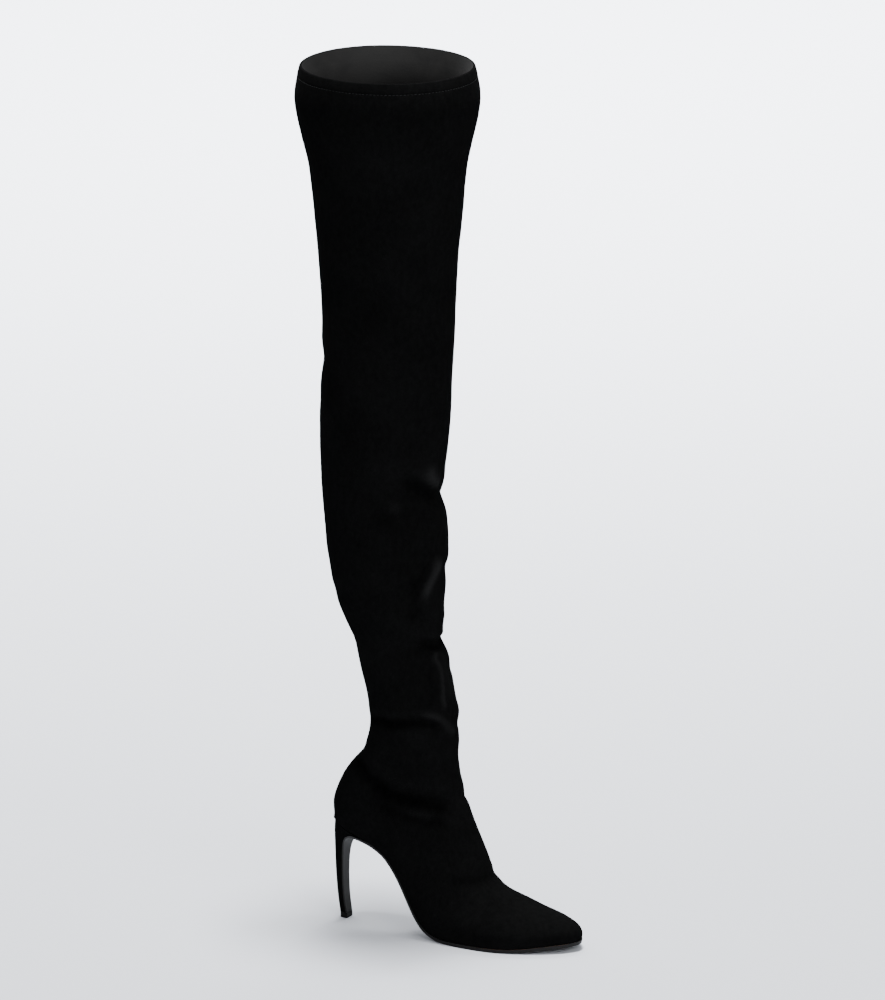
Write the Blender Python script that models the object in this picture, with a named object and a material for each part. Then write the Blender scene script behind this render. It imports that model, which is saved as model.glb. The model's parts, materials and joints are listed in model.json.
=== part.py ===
"""Right boot of a pair of thigh high heeled boots in black suede.

Units are metres. +X points to the toe, +Z up and +Y to the inner side of the leg, where the zip is.
The origin is the middle of the heel's top piece, on the floor.
"""
import math
from collections import namedtuple

import bmesh
import bpy
from mathutils import Matrix, Vector

# Foot
FOOT_LENGTH = 0.2220        # back of the heel seat to the tip of the toe, seen from above
BALL_WIDTH = 0.0760
HEEL_HEIGHT = 0.0885        # back of the heel seat over the floor
HEEL_OVERHANG = 0.0060      # back of the heel seat behind the middle of the top piece
HEEL_TO_INSTEP = 0.1320     # back of the heel seat to the bend of the instep
TOE_SPRING = 0.0050
TOE_LENGTH = 0.0700         # stretch over which the outline narrows to the tip
TOE_CAP_ROUND = 0.0190      # stretch over which the top of the toe comes down to the tip
SEAT_ROUND = 0.0270         # stretch over which the seat rounds off at the back

# Leg
BOOT_HEIGHT = 0.7200
CALF_DEPTH = 0.1050
WALL = 0.0016               # suede with its lining

# Sole and heel
SOLE_THICKNESS = 0.0030
WAIST_THICKNESS = 0.0018
FLAP_THICKNESS = 0.0012     # the sole leather that runs down the front of the heel
SOLE_EXTENSION = 0.0009     # sole edge outside the feather line
INSOLE_THICKNESS = 0.0020
INSOLE_CLEARANCE = 0.0007
SEAT_DEPTH = 0.0390         # heel seat from its back to the front lip of the heel
HEEL_WAIST_WIDTH = 0.0114   # heel seen from the front, half way down
TIP_DEPTH = 0.0080
TIP_WIDTH = 0.0094
TIP_THICKNESS = 0.0046
GAP = 0.0003                # between pieces that touch

# Zip on the inner side
ZIP_ABOVE_SEAT = 0.1150     # upper end of the zip over the back of the heel seat
ZIP_LENGTH = 0.1400
ZIP_FROM_BACK = 0.0710      # upper end of the zip ahead of the back of the heel seat
ZIP_SWEEP = 0.0160          # how far its lower end lies ahead of its upper end
ZIP_SLOT = 0.0034
ZIP_CLEARANCE = 0.0007      # tape behind the wall
ZIP_TAPE_WIDTH = 0.0160
ZIP_TAPE_THICKNESS = 0.0007
ZIP_TAPE_END = 0.0040       # tape past each end of the slot
SLIDER_DROP = 0.0240        # slider's middle under the upper end of the zip
SLIDER_LENGTH = 0.0088
SLIDER_WIDTH = 0.0036
SLIDER_PLATE = 0.0010
SLIDER_LIFT = 0.0009        # slider's plate over the skin
BRIDGE_LENGTH = 0.0052
BRIDGE_WIDTH = 0.0018
BRIDGE_WIRE = 0.0008
PULL_LENGTH = 0.0100
PULL_WIDTH = 0.0064
PULL_WIRE = 0.0011
PULL_ROUND = 0.0022         # corners of the pull, to the middle of its wire
PULL_TILT = 7.0             # degrees by which the hanging pull leans to the skin

# Mesh
SIDE_STEPS = 14             # steps up one side of a section
ZIP_COLUMN = 6              # step of the inner side that becomes the zip's slot
ARC_STEPS = 10              # steps around the back of the heel

HEEL_BACK = -HEEL_OVERHANG
FLOOR_RISE = SOLE_THICKNESS + GAP

FootRow = namedtuple("FootRow", "along rise spring lean span outer inner tread_outer tread_inner"
                     " swing crest widest low high")
LegRow = namedtuple("LegRow", "back rise lean span outer inner widest low high")
Section = namedtuple("Section", "x z lean span outer inner tread_outer tread_inner"
                     " swing crest widest low high")
Fold = namedtuple("Fold", "row turn wrap climb depth reach")
HeelRow = namedtuple("HeelRow", "level back front width tilt")

# Sections from the toe to the back of the seat. along: share of FOOT_LENGTH from the back. rise: share
# of HEEL_HEIGHT. spring: share of TOE_SPRING. lean: degrees from upright. span: share of
# HEEL_TO_INSTEP, from the sole to the top. outer to crest: shares of BALL_WIDTH. widest: share of the
# span. low and high: how square the section is under and over its widest place.
FOOT_ROWS = (
    FootRow(1.000, 0.000, 1.00, 0.0, 0.120, 0.470, 0.470, 0.450, 0.450, 0.060, 0.00, 0.30, 2.2, 2.1),
    FootRow(0.934, 0.000, 0.80, 3.0, 0.121, 0.480, 0.480, 0.458, 0.458, 0.055, 0.00, 0.32, 2.2, 2.1),
    FootRow(0.867, 0.000, 0.46, 6.0, 0.160, 0.495, 0.490, 0.475, 0.468, 0.040, 0.02, 0.33, 2.2, 2.1),
    FootRow(0.785, 0.000, 0.05, 8.0, 0.208, 0.502, 0.495, 0.482, 0.472, 0.020, 0.04, 0.33, 2.2, 2.0),
    FootRow(0.690, 0.000, 0.00, 13.0, 0.260, 0.503, 0.493, 0.484, 0.462, 0.000, 0.07, 0.32, 2.2, 2.0),
    FootRow(0.585, 0.000, 0.00, 21.0, 0.318, 0.495, 0.475, 0.470, 0.415, 0.000, 0.09, 0.30, 2.2, 2.0),
    FootRow(0.485, 0.002, 0.00, 29.5, 0.435, 0.478, 0.455, 0.408, 0.340, 0.000, 0.09, 0.30, 2.2, 2.0),
    FootRow(0.412, 0.084, 0.00, 33.5, 0.539, 0.460, 0.440, 0.358, 0.282, 0.000, 0.08, 0.32, 2.2, 2.0),
    FootRow(0.362, 0.256, 0.00, 36.0, 0.567, 0.450, 0.435, 0.326, 0.254, 0.000, 0.06, 0.35, 2.2, 2.0),
    FootRow(0.314, 0.480, 0.00, 39.3, 0.569, 0.440, 0.434, 0.304, 0.250, 0.000, 0.04, 0.38, 2.2, 2.0),
    FootRow(0.255, 0.700, 0.00, 45.0, 0.585, 0.434, 0.434, 0.303, 0.270, 0.000, 0.03, 0.42, 2.2, 2.0),
    FootRow(0.190, 0.815, 0.00, 48.5, 0.670, 0.430, 0.430, 0.310, 0.296, 0.000, 0.02, 0.45, 2.3, 2.0),
    FootRow(0.113, 0.882, 0.00, 51.5, 0.800, 0.425, 0.425, 0.322, 0.322, 0.000, 0.01, 0.47, 2.3, 2.0),
    FootRow(0.043, 0.948, 0.00, 54.5, 0.920, 0.422, 0.422, 0.330, 0.330, 0.000, 0.00, 0.48, 2.4, 2.0),
    FootRow(0.000, 1.000, 0.00, 56.5, 0.995, 0.420, 0.420, 0.330, 0.330, 0.000, 0.00, 0.48, 2.4, 2.0),
)
SEAT_ROW = len(FOOT_ROWS) - 1

# Counter and ankle. back and rise: from the back of the seat, shares of HEEL_TO_INSTEP, as span is.
# outer and inner: shares of BALL_WIDTH.
ANKLE_ROWS = (
    LegRow(-0.006, 0.076, 57.8, 0.986, 0.420, 0.420, 0.48, 2.4, 2.0),
    LegRow(0.012, 0.166, 59.8, 0.942, 0.420, 0.420, 0.48, 2.3, 2.0),
    LegRow(0.060, 0.272, 62.0, 0.864, 0.422, 0.422, 0.48, 2.2, 2.0),
    LegRow(0.128, 0.366, 63.1, 0.774, 0.424, 0.424, 0.48, 2.2, 2.0),
    LegRow(0.200, 0.444, 62.6, 0.688, 0.424, 0.424, 0.48, 2.1, 2.0),
    LegRow(0.219, 0.489, 61.5, 0.665, 0.422, 0.422, 0.49, 2.1, 2.0),
    LegRow(0.248, 0.602, 64.9, 0.604, 0.416, 0.416, 0.50, 2.1, 2.0),
    LegRow(0.244, 0.716, 69.2, 0.574, 0.414, 0.414, 0.50, 2.1, 2.0),
    LegRow(0.229, 0.830, 72.0, 0.562, 0.412, 0.412, 0.50, 2.1, 2.0),
)

# Shaft. rise: share of the height from the seat to the collar. span, outer and inner: shares of
# CALF_DEPTH. back: share of HEEL_TO_INSTEP.
SHAFT_ROWS = (
    LegRow(0.199, 0.198, 74.3, 0.697, 0.300, 0.300, 0.50, 2.1, 2.0),
    LegRow(0.165, 0.226, 78.8, 0.674, 0.303, 0.303, 0.50, 2.1, 2.0),
    LegRow(0.141, 0.246, 83.9, 0.708, 0.316, 0.316, 0.50, 2.1, 2.0),
    LegRow(0.078, 0.271, 85.9, 0.790, 0.345, 0.345, 0.50, 2.1, 2.0),
    LegRow(0.023, 0.299, 87.5, 0.868, 0.376, 0.376, 0.50, 2.1, 2.0),
    LegRow(-0.015, 0.335, 88.8, 0.930, 0.400, 0.400, 0.50, 2.1, 2.0),
    LegRow(-0.045, 0.370, 90.0, 0.984, 0.418, 0.418, 0.50, 2.1, 2.0),
    LegRow(-0.058, 0.410, 90.0, 0.988, 0.430, 0.430, 0.50, 2.1, 2.0),
    LegRow(-0.068, 0.451, 90.4, 0.950, 0.438, 0.438, 0.50, 2.1, 2.0),
    LegRow(-0.080, 0.503, 90.0, 1.020, 0.452, 0.452, 0.50, 2.1, 2.0),
    LegRow(-0.076, 0.574, 90.0, 1.043, 0.466, 0.466, 0.50, 2.1, 2.0),
    LegRow(-0.061, 0.653, 90.0, 1.043, 0.476, 0.476, 0.50, 2.1, 2.0),
    LegRow(-0.083, 0.748, 90.0, 1.105, 0.510, 0.510, 0.50, 2.1, 2.0),
    LegRow(-0.136, 0.874, 90.0, 1.233, 0.590, 0.590, 0.50, 2.1, 2.0),
    LegRow(-0.189, 1.000, 90.0, 1.357, 0.660, 0.660, 0.50, 2.1, 2.0),
)

# Folds of the worn shaft. row: the section it lies on, counted from the toe. turn: degrees around
# the leg, 0 in front, 90 inside, 180 behind, -90 outside. wrap: half its arc in degrees. climb: rows
# that it rises over 90 degrees of turn. depth: share of CALF_DEPTH, inward. reach: rows.
FOLDS = (
    Fold(21.0, -120.0, 110.0, -1.2, 0.020, 0.45),
    Fold(20.9, 125.0, 100.0, 1.0, 0.018, 0.45),
    Fold(22.2, -100.0, 95.0, 0.8, -0.014, 0.60),
    Fold(15.9, -70.0, 75.0, -1.5, 0.017, 0.55),
    Fold(14.3, -75.0, 60.0, -1.2, 0.014, 0.50),
    Fold(16.0, 75.0, 70.0, 1.5, 0.015, 0.55),
    Fold(25.1, -25.0, 85.0, -0.4, 0.024, 0.40),
    Fold(26.6, -35.0, 80.0, -1.4, -0.016, 0.70),
    Fold(28.6, -40.0, 60.0, -1.6, 0.014, 0.50),
    Fold(25.3, 150.0, 70.0, 0.6, 0.018, 0.45),
    Fold(32.0, -20.0, 80.0, -0.6, 0.030, 0.40),
    Fold(34.9, 160.0, 90.0, 0.4, 0.014, 0.40),
)

# Heel from its top piece to the seat. level: share of the seat's height over the top piece. back:
# share of TIP_DEPTH behind the top piece's middle. front: share of TIP_DEPTH ahead of it, the sole
# leather included. width: share of HEEL_WAIST_WIDTH. tilt: how far the row lies in the seat's slope.
HEEL_ROWS = (
    HeelRow(0.00, 0.50, 0.50, 0.825, 0.0),
    HeelRow(0.08, 0.62, 0.34, 0.87, 0.0),
    HeelRow(0.20, 0.79, 0.20, 0.91, 0.0),
    HeelRow(0.34, 0.92, 0.12, 0.955, 0.0),
    HeelRow(0.50, 1.02, 0.13, 1.00, 0.0),
    HeelRow(0.63, 1.04, 0.21, 1.18, 0.1),
    HeelRow(0.74, 1.01, 0.46, 1.61, 0.3),
    HeelRow(0.83, 0.95, 1.02, 2.32, 0.6),
    HeelRow(0.91, 0.87, 2.12, 3.26, 0.85),
)


def clear_scene():
    for obj in list(bpy.data.objects):
        bpy.data.objects.remove(obj, do_unlink=True)


def material(name, colour, roughness, metallic=0.0):
    mat = bpy.data.materials.new(name)
    mat.use_nodes = True
    shader = mat.node_tree.nodes["Principled BSDF"]
    shader.inputs["Base Color"].default_value = (*colour, 1.0)
    shader.inputs["Roughness"].default_value = roughness
    shader.inputs["Metallic"].default_value = metallic
    return mat


def solid(name, points, faces, mat, smooth_angle=40.0):
    """A mesh object from points and faces; points that fall together become one."""
    mesh = bpy.data.meshes.new(name)
    bm = bmesh.new()
    verts = [bm.verts.new(p) for p in points]
    for face in faces:
        corners = []
        for index in face:
            if not corners or (points[index] - points[corners[-1]]).length > 1e-7:
                corners.append(index)
        if (points[corners[0]] - points[corners[-1]]).length <= 1e-7:
            corners.pop()
        if len(corners) > 2:
            bm.faces.new([verts[index] for index in corners])
    bmesh.ops.remove_doubles(bm, verts=bm.verts, dist=1e-7)
    loose = [v for v in bm.verts if not v.link_faces]
    bmesh.ops.delete(bm, geom=loose, context="VERTS")
    bmesh.ops.recalc_face_normals(bm, faces=bm.faces)
    bm.to_mesh(mesh)
    bm.free()
    mesh.shade_smooth()
    mesh.set_sharp_from_angle(angle=math.radians(smooth_angle))
    mesh.materials.append(mat)
    obj = bpy.data.objects.new(name, mesh)
    bpy.context.scene.collection.objects.link(obj)
    return obj


def rounding(share, power):
    """Rises from 0 to 1 as a quarter of a rounded outline while share goes from 0 to 1."""
    if share >= 1.0:
        return 1.0
    return (1.0 - (1.0 - max(share, 0.0)) ** power) ** (1.0 / power)


def smooth_step(share):
    share = min(max(share, 0.0), 1.0)
    return share * share * (3.0 - 2.0 * share)


def between_rows(values, row):
    """Smooth value between the rows of one column."""
    last = len(values) - 1
    index = min(max(int(row), 0), last - 1)
    f = row - index
    before = values[max(index - 1, 0)]
    start = values[index]
    end = values[index + 1]
    after = values[min(index + 2, last)]
    slope_in = 0.5 * (end - before)
    slope_out = 0.5 * (after - start)
    rest = 2.0 * (start - end) + slope_in + slope_out
    bend = -3.0 * (start - end) - 2.0 * slope_in - slope_out
    return start + f * (slope_in + f * (bend + f * rest))


def foot_section(row):
    return Section(
        x=HEEL_BACK + row.along * FOOT_LENGTH,
        z=FLOOR_RISE + row.rise * (HEEL_HEIGHT - FLOOR_RISE) + row.spring * TOE_SPRING,
        lean=row.lean, span=row.span * HEEL_TO_INSTEP,
        outer=row.outer * BALL_WIDTH, inner=row.inner * BALL_WIDTH,
        tread_outer=row.tread_outer * BALL_WIDTH, tread_inner=row.tread_inner * BALL_WIDTH,
        swing=row.swing * BALL_WIDTH, crest=row.crest * BALL_WIDTH,
        widest=row.widest, low=row.low, high=row.high)


def leg_section(row, rise, size, width):
    return Section(
        x=HEEL_BACK + row.back * HEEL_TO_INSTEP, z=HEEL_HEIGHT + row.rise * rise,
        lean=row.lean, span=row.span * size,
        outer=row.outer * width, inner=row.inner * width,
        tread_outer=0.0, tread_inner=0.0, swing=0.0, crest=0.0,
        widest=row.widest, low=row.low, high=row.high)


def top_of(place):
    """Top or front end of a section, as x and z."""
    lean = math.radians(place.lean)
    return place.x + place.span * math.sin(lean), place.z + place.span * math.cos(lean)


SECTIONS = [foot_section(row) for row in FOOT_ROWS]
SECTIONS += [leg_section(row, HEEL_TO_INSTEP, HEEL_TO_INSTEP, BALL_WIDTH) for row in ANKLE_ROWS]
SECTIONS += [leg_section(row, BOOT_HEIGHT - HEEL_HEIGHT, CALF_DEPTH, CALF_DEPTH) for row in SHAFT_ROWS]
COLLAR_ROW = len(SECTIONS) - 1
COLUMNS = list(zip(*SECTIONS))
SOLE_COLUMNS = list(zip(*SECTIONS[:SEAT_ROW + 1]))[:2]
BACK_COLUMNS = list(zip(*SECTIONS[SEAT_ROW:]))[:2]
TOP_COLUMNS = list(zip(*[top_of(place) for place in SECTIONS]))
TOE_TIP = SECTIONS[0].x


def section(row):
    """The upper's section at any place between its rows, rounded off at the toe and the seat."""
    place = Section(*[between_rows(column, row) for column in COLUMNS])
    if row <= SEAT_ROW:
        x, z = [between_rows(column, row) for column in SOLE_COLUMNS]
    else:
        x, z = [between_rows(column, row - SEAT_ROW) for column in BACK_COLUMNS]
    top_x, top_z = [between_rows(column, row) for column in TOP_COLUMNS]
    place = place._replace(
        x=x, z=z, span=math.hypot(top_x - x, top_z - z),
        lean=math.degrees(math.atan2(top_x - x, top_z - z)))
    if row > SEAT_ROW:
        return place._replace(tread_outer=0.0, tread_inner=0.0)
    from_tip = TOE_TIP - place.x
    nose = rounding(from_tip / TOE_LENGTH, 1.75)
    seat = rounding((place.x - HEEL_BACK) / SEAT_ROUND, 2.0)
    return place._replace(
        span=place.span * rounding(from_tip / TOE_CAP_ROUND, 2.0),
        outer=place.outer * nose, inner=place.inner * nose,
        tread_outer=place.tread_outer * nose * seat, tread_inner=place.tread_inner * nose * seat)


def fold_depth(row, turn):
    depth = 0.0
    for fold in FOLDS:
        away = (turn - fold.turn + 180.0) % 360.0 - 180.0
        if abs(away) >= fold.wrap:
            continue
        offset = (row - fold.row - fold.climb * away / 90.0) / fold.reach
        arc = math.cos(0.5 * math.pi * away / fold.wrap) ** 2
        depth += fold.depth * CALF_DEPTH * arc * math.exp(-offset * offset)
    return depth


def skin(row, side, angle):
    """Point of the upper's outside. side is -1 outside the leg and 1 inside; angle runs from -90
    degrees at the sole or the back to 90 at the top or the front."""
    place = section(row)
    half = place.outer if side < 0 else place.inner
    tread = place.tread_outer if side < 0 else place.tread_inner
    sine = math.sin(angle)
    cosine = max(math.cos(angle), 0.0)
    if angle < 0.0:
        along = place.widest * (1.0 - abs(sine) ** (2.0 / place.low))
        across = tread + (half - tread) * cosine ** (2.0 / place.low)
    else:
        along = place.widest + (1.0 - place.widest) * sine ** (2.0 / place.high)
        across = half * cosine ** (2.0 / place.high)
    lean = math.radians(place.lean)
    up = Vector((math.sin(lean), 0.0, math.cos(lean)))
    bottom = Vector((place.x, place.swing, place.z))
    point = bottom + up * (along * place.span)
    point.y += side * across + place.crest * along * along
    if row > SEAT_ROW - 3:
        middle = bottom + up * (0.5 * place.span)
        out = point - middle
        turn = math.degrees(math.atan2(out.y, out.dot(up)))
        fade = smooth_step((row - SEAT_ROW + 3) / 3.0)
        point -= out.normalized() * (fold_depth(row, turn) * fade * min(1.0, 2.0 * along + 0.2))
    return point


def zip_x(height):
    drop = (HEEL_HEIGHT + ZIP_ABOVE_SEAT - height) / ZIP_LENGTH
    return HEEL_BACK + ZIP_FROM_BACK + ZIP_SWEEP * max(drop, 0.0) ** 1.5


def zip_share(row):
    """Share of the section's span at which the zip's line crosses it."""
    place = section(row)
    lean = math.radians(place.lean)
    low, high = 0.05, 0.95
    for _ in range(30):
        share = 0.5 * (low + high)
        x = place.x + share * place.span * math.sin(lean)
        z = place.z + share * place.span * math.cos(lean)
        if x < zip_x(z):
            low = share
        else:
            high = share
    return share


def zip_height(row):
    place = section(row)
    return place.z + zip_share(row) * place.span * math.cos(math.radians(place.lean))


def row_at_zip_height(height):
    low, high = float(SEAT_ROW - 8), float(SEAT_ROW + 12)
    for _ in range(30):
        row = 0.5 * (low + high)
        if zip_height(row) < height:
            low = row
        else:
            high = row
    return row


ZIP_TOP_ROW = row_at_zip_height(HEEL_HEIGHT + ZIP_ABOVE_SEAT)
ZIP_LOW_ROW = row_at_zip_height(HEEL_HEIGHT + ZIP_ABOVE_SEAT - ZIP_LENGTH)


def zip_angle(row):
    place = section(row)
    share = zip_share(row)
    if share < place.widest:
        return -math.asin(((place.widest - share) / place.widest) ** (0.5 * place.low))
    return math.asin(((share - place.widest) / (1.0 - place.widest)) ** (0.5 * place.high))


def inner_angles(row):
    """Angles of the inner side's steps. Near the zip one step is narrowed to the zip's slot."""
    step = math.pi / SIDE_STEPS
    plain = -0.5 * math.pi + step * (ZIP_COLUMN + 0.5)
    near = min(max(row, ZIP_LOW_ROW), ZIP_TOP_ROW)
    away = smooth_step(abs(row - near) / 4.0)
    middle = zip_angle(near) * (1.0 - away) + plain * away
    slot = 0.5 * ZIP_SLOT / (0.5 * section(near).span)
    half = slot * (1.0 - away) + 0.5 * step * away
    angles = []
    for k in range(SIDE_STEPS + 1):
        if k <= ZIP_COLUMN:
            angles.append(-0.5 * math.pi + (middle - half + 0.5 * math.pi) * k / ZIP_COLUMN)
        else:
            share = (k - ZIP_COLUMN - 1) / (SIDE_STEPS - ZIP_COLUMN - 1)
            angles.append(middle + half + (0.5 * math.pi - middle - half) * share)
    return angles


def ring_rows():
    """Where the upper's rings lie: closer at the toe and the seat, and one at each end of the zip."""
    rows = [0.0, 0.06, 0.16, 0.32, 0.55, 0.8]
    rows += [1.0 + 0.5 * k for k in range(2 * SEAT_ROW - 2)]
    rows += [SEAT_ROW - 0.5, SEAT_ROW - 0.2]
    rows += [SEAT_ROW + 0.5 * k for k in range(2 * (COLLAR_ROW - SEAT_ROW) - 7)]
    rows += [float(row) for row in range(COLLAR_ROW - 3, COLLAR_ROW + 1)]
    rows = sorted(set(rows))
    for end in (ZIP_LOW_ROW, ZIP_TOP_ROW):
        nearest = min(range(len(rows)), key=lambda k: abs(rows[k] - end))
        rows[nearest] = end
    return rows


def outside_rings(rows):
    rings = []
    step = math.pi / SIDE_STEPS
    for row in rows:
        outer = [skin(row, -1, -0.5 * math.pi + step * k) for k in range(SIDE_STEPS + 1)]
        inner = [skin(row, 1, angle) for angle in inner_angles(row)]
        rings.append(outer + inner[-2::-1])
    return rings


def inside_rings(rows, rings):
    """The outside moved inward by the wall, along its own normals."""
    inside = []
    last = len(rings) - 1
    count = len(rings[0])
    for i, ring in enumerate(rings):
        closed = rows[i] >= SEAT_ROW - 1e-6
        moved = []
        for j in range(count):
            if i == 0:
                moved.append(ring[j] - Vector((WALL, 0.0, 0.0)))
                continue
            before = rings[max(i - 1, 0)][j]
            after = rings[min(i + 1, last)][j]
            if closed and j in (0, count - 1):
                across = ring[1] - ring[count - 2]
            else:
                across = ring[min(j + 1, count - 1)] - ring[max(j - 1, 0)]
            normal = across.cross(after - before)
            moved.append(ring[j] - normal.normalized() * WALL)
        if closed:
            middle = 0.5 * (moved[0] + moved[-1])
            moved[0] = middle
            moved[-1] = middle.copy()
        inside.append(moved)
    return inside


def make_upper(mat):
    rows = ring_rows()
    outside = outside_rings(rows)
    inside = inside_rings(rows, outside)
    count = len(outside[0])
    shift = len(rows) * count
    points = [p for ring in outside for p in ring] + [p for ring in inside for p in ring]
    slot_from = rows.index(ZIP_LOW_ROW)
    slot_to = rows.index(ZIP_TOP_ROW)
    slot_column = count - 2 - ZIP_COLUMN

    def index(i, j):
        return i * count + j

    faces = []
    for i in range(len(rows) - 1):
        for j in range(count - 1):
            if j == slot_column and slot_from <= i < slot_to:
                continue
            face = [index(i, j), index(i, j + 1), index(i + 1, j + 1), index(i + 1, j)]
            faces.append(face)
            faces.append([k + shift for k in reversed(face)])
    rims = [(index(i, 0), index(i + 1, 0)) for i in range(len(rows) - 1) if rows[i] < SEAT_ROW - 1e-6]
    rims += [(a + count - 1, b + count - 1) for a, b in rims]
    rims += [(index(len(rows) - 1, j), index(len(rows) - 1, j + 1)) for j in range(count - 1)]
    for i in range(slot_from, slot_to):
        rims.append((index(i, slot_column), index(i + 1, slot_column)))
        rims.append((index(i, slot_column + 1), index(i + 1, slot_column + 1)))
    for i in (slot_from, slot_to):
        rims.append((index(i, slot_column), index(i, slot_column + 1)))
    faces += [[a, b, b + shift, a + shift] for a, b in rims]
    return solid("upper", points, faces, mat, 60.0)


def sole_line(row):
    """Middle of the last's bottom and its downward normal."""
    place = section(row)
    ahead = section(max(row - 0.02, 0.0))
    behind = section(min(row + 0.02, float(SEAT_ROW)))
    along = Vector((ahead.x - behind.x, 0.0, ahead.z - behind.z)).normalized()
    return Vector((place.x, 0.0, place.z)), Vector((along.z, 0.0, -along.x)), along


def sole_outline(rows, offset):
    """Both edges of the last's bottom, moved outward by the offset."""
    edges = []
    for side in (-1, 1):
        flat = []
        length = 0.0
        previous = None
        for row in rows:
            place = section(row)
            middle = Vector((place.x, 0.0, place.z))
            if previous is not None:
                length += (middle - previous).length
            previous = middle
            tread = place.tread_outer if side < 0 else place.tread_inner
            flat.append((length, tread, place.swing))
        edge = []
        for k, (along, tread, swing) in enumerate(flat):
            before = flat[max(k - 1, 0)]
            after = flat[min(k + 1, len(flat) - 1)]
            run = after[0] - before[0]
            widen = after[1] - before[1]
            if k == 0:
                run, widen = 0.0, 1.0
            if k == len(flat) - 1 and tread < 1e-6:
                run, widen = 0.0, -1.0
            scale = offset / math.hypot(run, widen)
            middle, down, ahead = sole_line(rows[k])
            point = middle + ahead * (widen * scale)
            point.y = swing + side * (tread + run * scale)
            edge.append((point, down))
        edges.append(edge)
    return edges


def prism(name, stations, mat, smooth_angle=40.0):
    """A closed solid from a row of outlines with the same number of corners."""
    count = len(stations[0])
    points = [corner for station in stations for corner in station]
    faces = []
    for i in range(len(stations) - 1):
        for j in range(count):
            k = (j + 1) % count
            faces.append([i * count + j, i * count + k, (i + 1) * count + k, (i + 1) * count + j])
    faces.append(list(range(count)))
    faces.append([(len(stations) - 1) * count + j for j in range(count)])
    return solid(name, points, faces, mat, smooth_angle)


def seat_front_row():
    """Row of the sole line at the heel's front lip."""
    low, high = 8.0, float(SEAT_ROW)
    for _ in range(30):
        row = 0.5 * (low + high)
        if section(row).x > HEEL_BACK + SEAT_DEPTH:
            low = row
        else:
            high = row
    return row


def sole_rows():
    """Rows of the sole line from the toe to just ahead of the heel's lip."""
    rows = [0.0, 0.06, 0.16, 0.32, 0.55, 0.8]
    row = 1.0
    while row < seat_front_row() - 0.4:
        rows.append(row)
        row += 0.5
    return rows


def seat_rows():
    """Rows of the sole line from the heel's lip to the back of the seat."""
    lip = seat_front_row()
    steps = ARC_STEPS // 2 + 1
    return [lip + (SEAT_ROW - lip) * math.sin(0.5 * math.pi * k / steps) for k in range(steps)] + [
        float(SEAT_ROW)]


def make_insole(mat):
    rows = sole_rows() + seat_rows()
    outer, inner = sole_outline(rows, -(WALL + INSOLE_CLEARANCE))
    stations = []
    for (left, down), (right, _) in zip(outer, inner):
        lift = down * -INSOLE_THICKNESS
        stations.append((left, right, right + lift, left + lift))
    return prism("insole", stations, mat)


def heel_ring(row):
    """Back and front of a heel section and its half width; the top ring is the seat itself."""
    seat_z = HEEL_HEIGHT - GAP
    level = TIP_THICKNESS + GAP + row.level * (seat_z - TIP_THICKNESS - GAP)
    lip = section(seat_front_row())
    slope = (lip.z - HEEL_HEIGHT) / (lip.x - HEEL_BACK)
    back = Vector((-row.back * TIP_DEPTH, 0.0, level))
    front = Vector((row.front * TIP_DEPTH, 0.0, level))
    front.z += row.tilt * slope * (front.x - back.x)
    return back, front, 0.5 * row.width * HEEL_WAIST_WIDTH


def heel_rings():
    """The heel's sections from the tip up, thinned to a smooth set."""
    values = list(zip(*HEEL_ROWS))
    rings = []
    for k in range(2 * len(HEEL_ROWS) - 1):
        rings.append(heel_ring(HeelRow(*[between_rows(column, 0.5 * k) for column in values])))
    return rings


def d_section(back, front, half):
    """Corners of a heel section: a round back and a flat front."""
    depth = (front - back).length
    along = (front - back) / depth
    bow = min(0.62 * depth, 1.1 * half)
    corners = [front + Vector((0.0, -half, 0.0))]
    for k in range(ARC_STEPS + 1):
        angle = math.pi * (k / ARC_STEPS - 0.5)
        inward = bow * (1.0 - math.cos(angle))
        corners.append(back + along * inward + Vector((0.0, half * math.sin(angle), 0.0)))
    corners.append(front + Vector((0.0, half, 0.0)))
    return corners


def seat_ring():
    """The heel's top: the last's bottom from the lip to the back, one gap under the upper."""
    outer, inner = sole_outline(seat_rows(), 0.0)
    left = [point + down * GAP for point, down in outer]
    right = [point + down * GAP for point, down in inner]
    return left + right[-2::-1]


def breast():
    """Front of the heel from the seat down: back, front, half width, way out and leather there."""
    rings = heel_rings()
    rings.reverse()
    lip = sole_line(seat_front_row())[0]
    fronts = [lip] + [front for _, front, _ in rings]
    line = []
    for k, (back, front, half) in enumerate(rings):
        behind = fronts[min(k + 2, len(fronts) - 1)]
        tangent = (behind - fronts[k]).normalized()
        out = Vector((-tangent.z, 0.0, tangent.x))
        if k == len(rings) - 1:
            out = Vector((1.0, 0.0, 0.0))
        thick = FLAP_THICKNESS + (WAIST_THICKNESS - FLAP_THICKNESS) * smooth_step(1.0 - k / 4.0)
        line.append((back, front, half, out, thick))
    return line


def make_heel(mat):
    rings = []
    for back, front, half, out, thick in reversed(breast()):
        rings.append(d_section(back, front - out * (thick + GAP), half))
    rings.append(seat_ring())
    count = len(rings[0])
    points = [p for ring in rings for p in ring]
    faces = []
    for i in range(len(rings) - 1):
        for j in range(count):
            k = (j + 1) % count
            faces.append([i * count + j, i * count + k, (i + 1) * count + k, (i + 1) * count + j])
    faces.append(list(range(count)))
    top = (len(rings) - 1) * count
    for j in range(count // 2):
        k = count - 1 - j
        face = [top + j, top + j + 1, top + k - 1, top + k]
        faces.append(list(dict.fromkeys(face)))
    return solid("heel", points, faces, mat, 35.0)


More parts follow.
